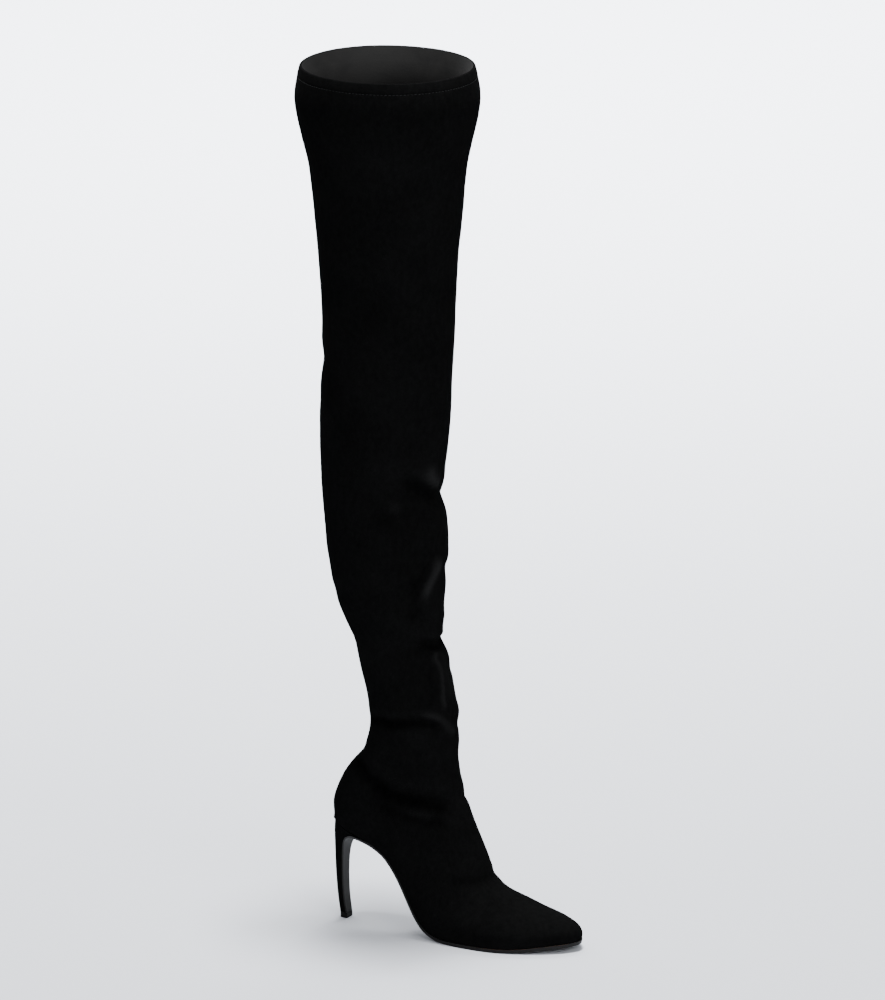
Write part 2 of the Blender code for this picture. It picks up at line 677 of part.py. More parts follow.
def make_heel_tip(mat):
    back = Vector((-0.5 * TIP_DEPTH, 0.0, 0.0))
    front = Vector((0.5 * TIP_DEPTH, 0.0, 0.0))
    low = d_section(back, front, 0.5 * TIP_WIDTH)
    high = [corner + Vector((0.0, 0.0, TIP_THICKNESS)) for corner in low]
    count = len(low)
    faces = [[j, (j + 1) % count, count + (j + 1) % count, count + j] for j in range(count)]
    faces += [list(range(count)), list(range(count, 2 * count))]
    return solid("heel_tip", low + high, faces, mat)


def make_outsole(mat):
    """Forepart and waist under the last, then the flap down the front of the heel."""
    rows = sole_rows()
    outer, inner = sole_outline(rows, SOLE_EXTENSION)
    stations = []
    for k, ((left, down), (right, _)) in enumerate(zip(outer, inner)):
        waist = smooth_step((rows[k] - 5.0) / 3.0)
        thick = SOLE_THICKNESS * (1.0 - waist) + WAIST_THICKNESS * waist
        if k == 0:
            down = Vector((0.0, 0.0, -1.0))
        corners = [left + down * GAP, right + down * GAP]
        corners += [corner + down * thick for corner in reversed(corners)]
        for corner in corners:
            corner.z = max(corner.z, 0.0)
        stations.append(tuple(corners))
    lip, down, _ = sole_line(seat_front_row())
    outer, inner = sole_outline(seat_rows(), 0.0)
    sides = [Vector((0.0, outer[0][0].y, 0.0)), Vector((0.0, inner[0][0].y, 0.0))]
    high = lip + down * (2.0 * GAP)
    low = high + down * WAIST_THICKNESS
    stations.append((high + sides[0], high + sides[1], low + sides[1], low + sides[0]))
    for _, front, half, out, thick in breast():
        inside = front - out * thick
        sides = [Vector((0.0, -half, 0.0)), Vector((0.0, half, 0.0))]
        stations.append((inside + sides[0], inside + sides[1], front + sides[1], front + sides[0]))
    return prism("outsole", stations, mat)


def zip_point(row, across, depth):
    """Point beside the zip's line, along its section, and under the skin by the depth."""
    angle = zip_angle(row) + across / (0.5 * section(row).span)
    point = skin(row, 1, angle)
    run = skin(row, 1, angle + 0.08) - skin(row, 1, angle - 0.08)
    rise = skin(row + 0.3, 1, angle) - skin(row - 0.3, 1, angle)
    out = run.cross(rise).normalized()
    if out.y < 0.0:
        out = -out
    return point - out * depth


def make_zip(mat):
    """Tape behind the wall and the coil in its slot, swept along the zip's line."""
    depth = WALL + ZIP_CLEARANCE
    coil = 0.5 * ZIP_SLOT - GAP
    half = 0.5 * ZIP_TAPE_WIDTH
    back = depth + ZIP_TAPE_THICKNESS
    shape = [(-half, depth), (-coil, depth), (-coil, GAP), (coil, GAP), (coil, depth),
             (half, depth), (half, back), (coil, back), (-coil, back), (-half, back)]
    flat_shape = [(across, max(deep, depth)) for across, deep in shape]
    end = ZIP_TAPE_END / ZIP_LENGTH * (ZIP_TOP_ROW - ZIP_LOW_ROW)
    notch = end * GAP / ZIP_TAPE_END
    first = ZIP_LOW_ROW + notch
    last = ZIP_TOP_ROW - notch
    rows = [first] + [row for row in ring_rows() if first + 0.1 < row < last - 0.1] + [last]
    outlines = [(ZIP_LOW_ROW - end, flat_shape), (first, flat_shape)]
    outlines += [(row, shape) for row in rows]
    outlines += [(last, flat_shape), (ZIP_TOP_ROW + end, flat_shape)]
    stations = [[zip_point(row, *corner) for corner in outline] for row, outline in outlines]
    return prism("zip", stations, mat)


def slider_frame():
    """Skin under the slider's middle, then the ways across, down the zip and out."""
    row = row_at_zip_height(HEEL_HEIGHT + ZIP_ABOVE_SEAT - SLIDER_DROP)
    here = zip_point(row, 0.0, 0.0)
    down = (zip_point(row - 0.5, 0.0, 0.0) - zip_point(row + 0.5, 0.0, 0.0)).normalized()
    out = (here - zip_point(row, 0.0, 1.0)).normalized()
    across = down.cross(out).normalized()
    out = across.cross(down).normalized()
    return here, across, down, out


def frame_matrix(across, down, out, place):
    matrix = Matrix((across, down, out)).transposed().to_4x4()
    matrix.translation = place
    return matrix


def box_stations(width, length, low, high):
    """Two outlines of a box: width across, length along the zip, low and high over the skin."""
    x, y = 0.5 * width, 0.5 * length
    return [[Vector((-x, -y, z)), Vector((x, -y, z)), Vector((x, y, z)), Vector((-x, y, z))]
            for z in (low, high)]


def make_slider(mat):
    here, across, down, out = slider_frame()
    top = SLIDER_LIFT + SLIDER_PLATE
    slider = prism("zip_slider", box_stations(SLIDER_WIDTH, SLIDER_LENGTH, SLIDER_LIFT, top), mat)
    neck = prism("slider_neck", box_stations(
        ZIP_SLOT - 2.0 * GAP, 0.6 * SLIDER_LENGTH, 2.0 * GAP, SLIDER_LIFT + 0.5 * SLIDER_PLATE), mat)
    outer = 0.5 * BRIDGE_LENGTH
    inner = outer - BRIDGE_WIRE
    sink = top - 0.5 * SLIDER_PLATE
    roof = top + PULL_WIRE + 2.0 * GAP
    side = [(-outer, sink), (-inner, sink), (-inner, roof), (inner, roof), (inner, sink), (outer, sink),
            (outer, roof + 0.4 * BRIDGE_WIRE), (outer - 0.6 * BRIDGE_WIRE, roof + BRIDGE_WIRE),
            (0.6 * BRIDGE_WIRE - outer, roof + BRIDGE_WIRE), (-outer, roof + 0.4 * BRIDGE_WIRE)]
    bridge = prism("slider_bridge", [[Vector((x, y, z)) for y, z in side]
                                     for x in (-0.5 * BRIDGE_WIDTH, 0.5 * BRIDGE_WIDTH)], mat)
    matrix = frame_matrix(across, down, out, here)
    slider.matrix_world = matrix
    for piece in (neck, bridge):
        piece.matrix_world = matrix
        piece.hide_render = True
        piece.display_type = "WIRE"
        union = slider.modifiers.new(piece.name, "BOOLEAN")
        union.operation = "UNION"
        union.solver = "EXACT"
        union.object = piece
    return slider


def make_pull(mat):
    """A wire loop that hangs from the slider's bridge; its origin is the middle of its top bar."""
    here, across, down, out = slider_frame()
    radius = 0.5 * PULL_WIRE
    half = 0.5 * PULL_WIDTH - radius
    length = PULL_LENGTH - 2.0 * radius
    path = []
    corners = ((half - PULL_ROUND, PULL_ROUND, -90.0), (half - PULL_ROUND, length - PULL_ROUND, 0.0),
               (PULL_ROUND - half, length - PULL_ROUND, 90.0), (PULL_ROUND - half, PULL_ROUND, 180.0))
    for x, y, start in corners:
        for k in range(5):
            angle = math.radians(start + 22.5 * k)
            path.append(Vector((x + PULL_ROUND * math.cos(angle), y + PULL_ROUND * math.sin(angle), 0.0)))
    points, faces = [], []
    for k, point in enumerate(path):
        tangent = (path[(k + 1) % len(path)] - path[k - 1]).normalized()
        aside = tangent.cross(Vector((0.0, 0.0, 1.0)))
        for j in range(8):
            angle = math.radians(45.0 * j)
            points.append(point + aside * (radius * math.cos(angle))
                          + Vector((0.0, 0.0, radius * math.sin(angle))))
    count = len(path)
    for k in range(count):
        n = (k + 1) % count
        for j in range(8):
            i = (j + 1) % 8
            faces.append([8 * k + j, 8 * k + i, 8 * n + i, 8 * n + j])
    pull = solid("zip_pull", points, faces, mat)
    pivot = here + out * (SLIDER_LIFT + SLIDER_PLATE + GAP + radius)
    tilt = Matrix.Rotation(math.radians(-PULL_TILT), 4, "X")
    pull.matrix_world = frame_matrix(across, down, out, pivot) @ tilt
    return pull


def main():
    clear_scene()
    suede = material("black_suede", (0.012, 0.012, 0.013), 0.95)
    leather = material("sole_leather", (0.035, 0.033, 0.032), 0.45)
    lining = material("lining_leather", (0.03, 0.028, 0.027), 0.6)
    rubber = material("top_piece_rubber", (0.02, 0.02, 0.02), 0.55)
    tape = material("zip_tape", (0.015, 0.015, 0.016), 0.7)
    metal = material("slider_metal", (0.55, 0.55, 0.56), 0.3, 1.0)
    make_upper(suede)
    make_insole(lining)
    make_outsole(leather)
    make_heel(suede)
    make_heel_tip(rubber)
    make_zip(tape)
    make_slider(metal)
    make_pull(metal)


main()
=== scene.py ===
"""Looks of the right boot of a pair of black suede thigh high boots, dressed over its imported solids.

Units are metres. +X points to the toe, +Z up and +Y to the inner side of the leg, where the zip is.
"""
import json
import math
from collections import namedtuple

import bpy
import numpy as np
from mathutils import Matrix, Vector, noise
from mathutils.bvhtree import BVHTree

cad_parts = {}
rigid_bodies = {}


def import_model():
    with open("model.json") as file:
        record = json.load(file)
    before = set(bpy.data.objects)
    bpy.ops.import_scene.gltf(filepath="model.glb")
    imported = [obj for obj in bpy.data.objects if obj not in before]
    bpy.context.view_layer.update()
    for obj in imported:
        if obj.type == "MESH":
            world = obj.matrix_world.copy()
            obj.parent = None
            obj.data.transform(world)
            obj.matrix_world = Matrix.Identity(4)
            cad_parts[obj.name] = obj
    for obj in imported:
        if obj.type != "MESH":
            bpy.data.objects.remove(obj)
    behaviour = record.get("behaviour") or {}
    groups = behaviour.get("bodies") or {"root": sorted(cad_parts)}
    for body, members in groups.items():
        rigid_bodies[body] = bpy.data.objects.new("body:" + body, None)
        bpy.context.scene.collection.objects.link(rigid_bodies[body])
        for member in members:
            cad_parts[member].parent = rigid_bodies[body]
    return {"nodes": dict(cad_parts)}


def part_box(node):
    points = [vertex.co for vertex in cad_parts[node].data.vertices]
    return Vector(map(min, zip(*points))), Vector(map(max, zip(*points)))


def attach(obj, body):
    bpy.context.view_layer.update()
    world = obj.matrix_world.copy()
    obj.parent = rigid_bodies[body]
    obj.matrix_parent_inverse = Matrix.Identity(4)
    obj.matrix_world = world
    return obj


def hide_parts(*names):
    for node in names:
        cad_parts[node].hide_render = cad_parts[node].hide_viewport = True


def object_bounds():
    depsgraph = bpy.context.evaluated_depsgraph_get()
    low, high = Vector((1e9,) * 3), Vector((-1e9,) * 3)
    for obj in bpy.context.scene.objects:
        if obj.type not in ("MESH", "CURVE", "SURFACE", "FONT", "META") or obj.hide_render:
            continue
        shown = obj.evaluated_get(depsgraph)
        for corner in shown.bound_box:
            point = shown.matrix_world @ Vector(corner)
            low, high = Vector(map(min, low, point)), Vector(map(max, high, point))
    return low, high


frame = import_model()
CAD_BOX = [list(corner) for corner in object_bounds()]

# Sizes read from the frame
COLLAR = CAD_BOX[1][2]
TOE = CAD_BOX[1][0]
ZIP_LOW, ZIP_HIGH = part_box("zip")
SLIDER_LOW, SLIDER_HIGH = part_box("zip_slider")
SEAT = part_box("heel")[1].z

# Upper
LEG_MIDDLE = 0.048           # upright line that the creases are placed around
WALL = 0.0016
JOIN_DISTANCE = 0.00001
SIGHT = 0.4                  # a sight line onto the leg starts this far out
BESIDE_EDGE = 0.0001         # keeps a sight line off the edge that runs up the middle of the leg
OUTSIDE, LINING, CUT_EDGE = range(3)
LONG_EDGE = 0.030            # rings further apart than this are divided before smoothing
RIM_ANGLE = 50.0
SMOOTH_ANGLE = 60.0
QUAD_ANGLE = 40.0            # triangles flatter to each other than this become one quad
QUAD_SKEW = 60.0             # unless its corners are this far from square
SOFTER = 15.0                # edges are shaded smooth up to this much past the angle that keeps them

# Where the upper may crease
STIFF_HEEL = 0.002           # no crease runs on the counter, up to this far above the seat
STIFF_END = 0.016            # height over which it gives way to soft suede
VAMP_START = 0.075           # the foot may crease ahead of this
VAMP_LOW = 0.032             # and above this
VAMP_END = 0.020             # and fully so this much further ahead and up
ZIP_FLAT = 0.004             # half the strip along the zip that its tape keeps flat
ZIP_CALM = 0.013             # width over which that strip gives way to soft suede
CALM_STEP = 0.010            # from one place down that strip to the next
COLLAR_CALM = 0.030          # height under the collar over which creases fade out

# Creases
MILLIMETRE = 0.001
LINE_STEPS = 6               # straight steps from one point of a crease's line to the next
REACH = 4.5                  # a crease stops acting this many of its widths away
FADE = 2.6                   # it rises from nothing over this many of its widths at each end
SWELL_AWAY = 2.1             # its swell lies this many widths above its line
SWELL_WIDTH = 1.2            # half of the swell, in widths
SWELL_RISE = 0.8             # the swell starts within this many widths of the line
SLACK = 0.0009               # soft unevenness of worn suede
SLACK_WAVE = 0.045
FINE_SLACK = 0.35            # depth of its finer waves as a share of the broad ones
FINE_WAVE = 0.36             # and their length
FINE_SHIFT = (7.0, 3.0, 1.0)

# Painted shade in creases and painted highlight on ridges, put into the suede's colour
PAINTED_FOLD_LIGHT = "painted_fold_light"                # attribute of the mesh: below 0 for painted shade, above 0 for painted highlight
FOLD_DEPTH = 0.0040          # depth at which a crease's painted shade is darkest
FOLD_PAINTED_SHADE = 0.20
RIDGE_HEIGHT = 0.0020        # height at which a ridge's painted highlight is lightest
RIDGE_PAINTED_HIGHLIGHT = 0.60
RIDGE_POWER = 1.3
SWELL_PAINTED_HIGHLIGHT = 0.3            # share of a crease's swell that gets painted highlight

# Edges and seams of the upper
HEM = 0.011                  # turned edge at the collar
HEM_STEP = 0.0025            # height over which it thickens at its lower end
HEM_THICKER = 0.00035
RIM_EASE = 0.0009            # and thins out at the rim
RIM_CUT = 0.0012             # last ring of edges under the rim
SEAM_CUT = 0.0009            # rings of edges beside the collar's stitches
SEAM_DRAWN = 0.00040         # how far those stitches draw the suede in
SEAM_HALF = 0.0007
BACK_SEAM = 0.0011           # half the strip that the back seam draws in
BACK_STRIP = 0.008           # half the strip that is divided beside it
BACK_SEAM_START = 0.003      # its lower end, above the seat
BACK_SEAM_FADE = 0.012       # height over which it deepens from there
BACK_GROOVE = 0.00045        # depth of its groove
GROOVE_WIDTH = 0.55          # half the groove as a share of the strip
BACK_SWELL = 0.00012         # height of the swell on each side
SWELL_BESIDE = 1.2           # the swell's distance from the middle, as a share of the strip
SEAT_DRAWN = 0.0007          # how far the lower edge is drawn in around the heel's seat
SEAT_LENGTH = 0.030          # ahead of this it stays as it is
SEAT_FADE = 0.010
SEAT_STRIP = 0.004           # height of the strip that is drawn in
SEAT_BESIDE = 0.003          # half the strip at the back seam that stays as it is
SEAT_SIDE = 0.006

# Sole and heel
TUCK_LENGTH = 0.012          # end of the toe whose lower edge curves back under
TUCK_HEIGHT = 0.017          # height up to which it curves
TUCK = 0.0034                # how far back it lies on the floor
EDGE_ANGLE = 40.0            # edges sharper than this many degrees stay crisp
HEEL_ANGLE = 38.0
SLIDER_ANGLE = 35.0
SOLE_EASE = 0.00045          # width of the rounding on each piece's edges
HEEL_EASE = 0.00045
TIP_EASE = 0.00040
INSOLE_EASE = 0.00040
SEAT_LIFT = 0.0007           # closes the heel's top up against the upper
SEAT_LIFT_STRIP = 0.010      # height of the part that is lifted
EDGE_STEEP = 0.62            # a face whose sideways part is more than this belongs to the sole's edge
EDGE_TIP = 0.030             # stretch at the tip where facing ahead counts as sideways
FEATHER_LENGTH = 0.100       # stretch at the toe where the tan edge lies

# Zip
TAPE_END = 0.0045            # tape past each end of the slot
ZIP_TOP_HEIGHT = ZIP_HIGH.z - TAPE_END
ZIP_LOW_HEIGHT = ZIP_LOW.z + TAPE_END
ZIP_TOP_X = 0.0650
ZIP_SWEEP = 0.0160           # how far its lower end lies ahead of its upper end
ZIP_CURVE = 1.5              # power of the curve between them
ZIP_STEP = 0.0020            # down the zip, from one place to the next
ZIP_SIGHT = 0.2              # a sight line onto the leather beside it starts this far out
ZIP_HALF = 0.0034            # and so far to each side of its middle, clear of the slot
CORE_DROP = 0.0006           # coil's core under its teeth
TAPE_DEPTH = 0.0012          # past this depth under the skin the zip is tape, and not coil
TAPE_EASE = 0.00008
SLIDER_EASE = 0.00016
TOOTH_PITCH = 0.00135
TOOTH_LENGTH = 0.0019
TOOTH_WIRE = 0.00048
END_TOOTH = 0.0012           # last tooth from each end of the slot
TOOTH_SINK = 0.00055         # teeth under the skin
TOOTH_ASIDE = 0.00042        # tooth's middle beside the zip's, where it is closed
TOOTH_PARTED = 0.00034       # and so much more above the slider
PARTING = 0.008              # height over which they part
TOOTH_SLANT = 0.30

# Thread
THREAD = 0.00042
STITCH = 0.0023
STITCH_PITCH = 0.0030
STITCH_RISE = 0.16           # share of its thickness by which a stitch's middle stands out
ZIP_SEAM = 0.0046            # stitches beside the middle of the zip
ZIP_SEAM_END = 0.004         # stitches past each end of the slot
END_STITCHES = 3             # stitches across each end
COLLAR_SEAM = 0.0085         # stitches under the collar's edge
SEAM_STEPS = 720             # steps in which the way around the collar is measured
TACK_THREADS = 9             # threads of the bar tack over the zip's top
TACK_PITCH = 0.00042
TACK_DROP = 0.0014           # its middle under the row of stitches across the top
TACK_HALF = 0.0009

# Camera
AZIMUTH = 28.0
ELEVATION = 15.0
CAMERA_DISTANCE = 12.0
SENSOR = 36.0
HEIGHT_SHARE = 0.90          # of the image's height that the boot takes up
CLIP_END = 100.0

# Studio
FLOOR_SIZE = 40.0
SKY = (0.93, 0.96, 1.0, 1.0)
SKY_STRENGTH = 0.62
LIGHT_COLOUR = (0.97, 0.985, 1.0)
BOOT_MIDDLE = (0.08, 0.0, 0.32)
# A square light: where it hangs, what it faces, its side in metres, its watts and, in degrees, the
# cone that it lights.
Light = namedtuple("Light", "name place target size power cone")
LIGHTS = (
    Light("key", (0.05, 0.05, 3.4), BOOT_MIDDLE, 0.5, 250.0, 180.0),
    Light("fill", (2.6, -1.6, 1.6), BOOT_MIDDLE, 1.6, 70.0, 180.0),
    Light("rim", (-2.0, 1.2, 1.8), BOOT_MIDDLE, 1.6, 30.0, 180.0),
    Light("backdrop", (-1.4, 3.2, 3.0), (-1.4, 3.1, 0.0), 3.0, 420.0, 95.0),
)

# A crease of the worn suede. line: turn around the leg in degrees, 0 in front, 90 inside, 180
# behind, and -90 outside, with the height as a share of the collar's. depth: inward, or outward
# where it is negative, and width: half of it, both in millimetres. lift: soft swell above it.
# Depth and swell also set the painted shade in a crease and the painted highlight on ridges, in the suede's
# colour.
Crease = namedtuple("Crease", "line depth width lift")
CREASES = (
    # Ankle, outer side
    Crease(((-134, .244), (-93, .249), (-73, .248), (-54, .251), (-39, .2525), (-30, .251), (-20, .246),
            (-15, .242)), 2.8, 3.7, 1.0),
    Crease(((-38, .265), (-24, .259), (-15, .252), (-8, .243), (0, .231)), -1.1, 3.6, 0.0),
    Crease(((-150, .205), (-121, .190), (-111, .182), (-92, .173), (-76, .164), (-61, .162), (-36, .1595),
            (-23, .157), (-6, .150)), 3.4, 6.6, 1.0),
    Crease(((-88, .160), (-67, .1525), (-48, .149), (-34, .146), (-22, .141)), -1.3, 4.0, 0.0),
    Crease(((-98, .152), (-72, .1475), (-56, .1425), (-41, .138), (-25, .1375), (-15, .135)), 1.9, 4.0, 0.0),
    Crease(((-108, .207), (-97, .201)), 1.4, 4.0, 0.4),
    Crease(((-78, .191), (-66, .187)), 1.2, 4.0, 0.3),
    # Shin, outer side
    Crease(((-6, .333), (-14, .324), (-12, .3165), (-10.5, .306), (-11.5, .2895), (-12.5, .279), (-11, .262)),
           -1.3, 2.6, 0.0),
    Crease(((-20, .322), (-22, .306), (-23, .289), (-22, .272)), 1.3, 5.0, 0.0),
    # broad low ridge down the front of the shin: its painted highlight makes a lighter strip there, besides a
    # slight outward push
    Crease(((-2, .338), (-1, .305), (0, .268)), -0.6, 5.0, 0.0),
    Crease(((-36, .346), (-18, .339), (0, .335), (14, .336), (30, .341)), 1.8, 3.8, 0.8),
    Crease(((0, .444), (-17, .423), (-29, .400), (-34, .388)), -2.4, 6.0, 0.0),
    Crease(((-16, .440), (-30, .418), (-41, .398), (-45, .386)), 2.2, 6.0, 0.0),
    Crease(((-56, .391), (-40, .379), (-24, .367)), 2.4, 6.5, 1.0),
    Crease(((-89, .420), (-91, .398), (-90, .374)), 2.2, 13.0, 0.0),
    # Calf, outer side
    Crease(((-22, .556), (-15, .535), (0, .522), (15, .514)), -1.8, 6.0, 0.0),
    Crease(((-62, .537), (-44, .529), (-27, .521), (-5, .511), (12, .508)), 2.8, 5.5, 1.2),
    Crease(((-76, .511), (-64, .503), (-52, .494)), -0.9, 5.0, 0.0),
    Crease(((-98, .493), (-76, .4905), (-56, .489)), 1.5, 6.0, 0.6),
    # Where the shin meets the vamp
    Crease(((-26, .0690), (-13, .0695), (0, .0695), (13, .0695), (26, .0690)), 1.1, 4.2, 0.0),
    # Behind
    Crease(((-178, .248), (-160, .245), (-140, .243)), 1.6, 4.2, 1.0),
    Crease(((-165, .395), (-140, .388), (-118, .392)), 1.4, 6.0, 0.8),
    # Ankle, inner side
    Crease(((178, .248), (152, .246), (130, .251), (112, .257)), 2.0, 4.6, 0.8),
    Crease(((4, .240), (20, .249), (36, .258), (50, .262)), 2.0, 4.2, 0.9),
    Crease(((6, .153), (24, .160), (42, .167)), 1.6, 4.6, 0.5),
    Crease(((146, .191), (128, .184), (112, .175)), 1.4, 4.6, 0.4),
    # Shin and calf, inner side
    Crease(((8, .300), (26, .311), (44, .316), (60, .314)), 1.8, 4.6, 0.8),
    Crease(((14, .345), (38, .352), (64, .351), (92, .345), (118, .349)), 2.0, 5.2, 0.9),
    Crease(((10, .432), (30, .416), (52, .402), (76, .396)), 2.2, 6.0, 1.0),
    Crease(((2, .507), (24, .503), (48, .511), (72, .522)), 2.4, 6.0, 1.2),
    Crease(((98, .462), (124, .452), (152, .456), (176, .462)), 1.8, 7.0, 0.8),
    # Back of the knee and thigh
    Crease(((-150, .628), (-178, .620), (-208, .626), (-232, .634)), 2.0, 10.0, 1.0),
    Crease(((-128, .668), (-156, .659), (-184, .656)), 1.6, 10.0, 0.8),
    Crease(((-52, .742), (-84, .730), (-116, .727)), 1.2, 12.0, 0.6),
    Crease(((46, .785), (76, .770), (108, .768)), 1.2, 12.0, 0.6),
)


class Value:
    """A shader socket that takes part in sums as a number would."""

    def __init__(self, finish, socket):
        self.finish = finish
        self.socket = socket

    def maths(self, operation, first, second):
        return self.finish.node("ShaderNodeMath", {"operation": operation}, {0: first, 1: second})

    def __add__(self, other):
        return self.maths("ADD", self, other)

    def __radd__(self, other):
        return self.maths("ADD", other, self)

    def __sub__(self, other):
        return self.maths("SUBTRACT", self, other)

    def __rsub__(self, other):
        return self.maths("SUBTRACT", other, self)

    def __mul__(self, other):
        return self.maths("MULTIPLY", self, other)

    def __rmul__(self, other):
        return self.maths("MULTIPLY", other, self)


class Finish:
    """A material under construction around one Principled shader."""

    def __init__(self, name, **uniform):
        self.material = bpy.data.materials.new(name)
        self.material.use_nodes = True
        self.tree = self.material.node_tree
        self.shader = self.tree.nodes["Principled BSDF"]
        for socket, value in uniform.items():
            self.shader.inputs[socket.replace("_", " ")].default_value = value

    def node(self, kind, settings, inputs, output=0):
        made = self.tree.nodes.new(kind)
        for name, value in settings.items():
            setattr(made, name, value)
        for name, value in inputs.items():
            self.join(made.inputs[name], value)
        return Value(self, made.outputs[output])

    def join(self, socket, value):
        if isinstance(value, Value):
            self.tree.links.new(value.socket, socket)
        else:
            socket.default_value = value

    def place(self, stretch=(1.0, 1.0, 1.0), turn=(0.0, 0.0, 0.0)):
        """Object coordinates, turned and stretched."""
        own = self.node("ShaderNodeTexCoord", {}, {}, "Object")
        return self.node("ShaderNodeMapping", {}, {"Vector": own, "Rotation": turn, "Scale": stretch})

    def noise(self, size, detail=2.0, rough=0.5, place=None):
        """Cloudy noise whose patches are about the given size."""
        inputs = {"Vector": place or self.place(), "Scale": 1.0 / size, "Detail": detail, "Roughness": rough}
        return self.node("ShaderNodeTexNoise", {}, inputs)

    def cells(self, size, place=None):
        """Distance to the nearest of a scatter of points about the given size apart."""
        inputs = {"Vector": place or self.place(), "Scale": 1.0 / size}
        return self.node("ShaderNodeTexVoronoi", {}, inputs, "Distance")

    def spread(self, value, low, high):
        """The value with low taken to 0 and high to 1."""
        inputs = {"Value": value, "From Min": low, "From Max": high}
        return self.node("ShaderNodeMapRange", {}, inputs)

    def colours(self, share, first, second):
        """From the first colour to the second."""
        return self.node("ShaderNodeMix", {"data_type": "RGBA"}, {0: share, 6: first, 7: second}, 2)

    def varied(self, socket, value):
        self.join(self.shader.inputs[socket], value)

    def relief(self, *layers):
        """Bumps, each a height from 0 to 1 with its depth in metres, one over the other."""
        below = None
        for height, depth in layers:
            inputs = {"Height": height, "Distance": depth, "Strength": 1.0}
            if below:
                inputs["Normal"] = below
            below = self.node("ShaderNodeBump", {}, inputs)
        self.varied("Normal", below)


def grey(level, tint=(1.0, 1.0, 1.0)):
    return tuple(level * part for part in tint) + (1.0,)


COOL = (0.96, 0.98, 1.04)
WARM = (1.06, 1.0, 0.94)


def suede(name, dark, light, nap):
    """Brushed suede: a short matt nap in soft patches, with painted highlight on crease ridges and painted
    shade in creases, read from the mesh's fold mark.
    """
    finish = Finish(name, Sheen_Weight=0.006, Sheen_Roughness=0.25, Sheen_Tint=grey(0.60),
                    Specular_IOR_Level=0.0)
    patches = finish.noise(0.040, 3.0, 0.5)
    brushed = finish.noise(nap * 9.0, 3.0, 0.6, finish.place((1.0, 1.0, 0.7), (0.25, 0.1, 0.0)))
    fibre = finish.noise(nap, 3.0, 0.75)
    # the fold mark carries painted shade for creases and painted highlight for ridges
    painted_fold_light = finish.node("ShaderNodeAttribute", {"attribute_name": PAINTED_FOLD_LIGHT}, {}, "Fac")
    share = finish.spread(patches * 0.25 + brushed * 0.3 + fibre * 0.45, 0.36, 0.66)
    # the suede's random tone plus the painted shade and painted highlight of the creases
    worn = share * 0.24 + painted_fold_light + 0.16
    finish.varied("Base Color", finish.colours(worn, grey(dark), grey(light)))
    finish.varied("Roughness", 0.98 - share * 0.12)
    finish.relief((brushed, 0.00014), (fibre, 0.00014), (finish.cells(nap * 1.6), 0.00007))
    return finish.material


def lining_leather():
    """Thin black lining, smooth with a fine pore."""
    finish = Finish("lining_leather", Specular_IOR_Level=0.12)
    cloud = finish.noise(0.012, 3.0)
    pores = finish.cells(0.0011)
    finish.varied("Base Color", finish.colours(cloud, grey(0.003), grey(0.008, WARM)))
    finish.varied("Roughness", 0.60 + cloud * 0.2)
    finish.relief((pores, 0.00006), (cloud, 0.00010))
    return finish.material


def sock_leather():
    finish = Finish("sock_leather", Specular_IOR_Level=0.45, Coat_Weight=0.05, Coat_Roughness=0.4)
    cloud = finish.noise(0.02, 3.0)
    pores = finish.cells(0.0009)
    finish.varied("Base Color", finish.colours(cloud, grey(0.010), grey(0.020, WARM)))
    finish.varied("Roughness", 0.42 + cloud * 0.2)
    finish.relief((pores, 0.00005))
    return finish.material


def sole_leather():
    """Black satin sole leather with a fine grain, rubbed a little where it treads."""
    finish = Finish("sole_leather", Specular_IOR_Level=0.12, Coat_Weight=0.01, Coat_Roughness=0.35)
    cloud = finish.noise(0.016, 4.0, 0.6)
    scuffs = finish.noise(0.0016, 3.0, 0.7, finish.place((0.12, 1.0, 1.0), (0.0, 0.0, 0.2)))
    height = finish.node("ShaderNodeSeparateXYZ", {}, {0: finish.place()}, 2)
    tread = 1.0 - finish.spread(height, 0.0002, 0.0022)
    rub = tread * finish.spread(scuffs, 0.52, 0.72)
    body = finish.colours(cloud, grey(0.005, WARM), grey(0.010, WARM))
    finish.varied("Base Color", finish.colours(rub * 0.45, body, grey(0.04, WARM)))
    finish.varied("Roughness", 0.50 + cloud * 0.14 + rub * 0.25)
    finish.relief((finish.cells(0.0008), 0.00003), (scuffs, 0.00003))
    return finish.material


def edge_paint():
    """Burnished black edge of the sole."""
    finish = Finish("edge_paint", Specular_IOR_Level=0.12, Coat_Weight=0.01, Coat_Roughness=0.35)
    lines = finish.noise(0.0009, 2.0, 0.5, finish.place((0.1, 0.1, 1.0)))
    finish.varied("Base Color", finish.colours(lines, grey(0.003), grey(0.007, WARM)))
    finish.varied("Roughness", 0.44 + lines * 0.16)
    finish.relief((lines, 0.00004))
    return finish.material


def feather_tan():
    """Raw tan edge of leather that shows as a thin line above the sole, near the toe."""
    finish = Finish("feather_tan", Specular_IOR_Level=0.35)
    cloud = finish.noise(0.004, 3.0)
    along = finish.node("ShaderNodeSeparateXYZ", {}, {0: finish.place()}, 0)
    shown = finish.spread(along, TOE - 0.085, TOE - 0.060) * finish.spread(cloud, 0.30, 0.48)
    tan = finish.colours(cloud, (0.11, 0.042, 0.017, 1.0), (0.24, 0.105, 0.046, 1.0))
    finish.varied("Base Color", finish.colours(shown, grey(0.004), tan))
    finish.varied("Roughness", 0.55 + cloud * 0.2)
    finish.relief((cloud, 0.00004))
    return finish.material


def top_piece():
    """Hard black plastic of the top piece, faintly scratched."""
    finish = Finish("top_piece", Specular_IOR_Level=0.05)
    cloud = finish.noise(0.003, 3.0)
    scratches = finish.noise(0.0007, 3.0, 0.7, finish.place((0.3, 0.3, 1.6)))
    finish.varied("Base Color", finish.colours(cloud, grey(0.003), grey(0.007)))
    finish.varied("Roughness", 0.42 + scratches * 0.22)
    finish.relief((scratches, 0.00004), (cloud, 0.00005))
    return finish.material


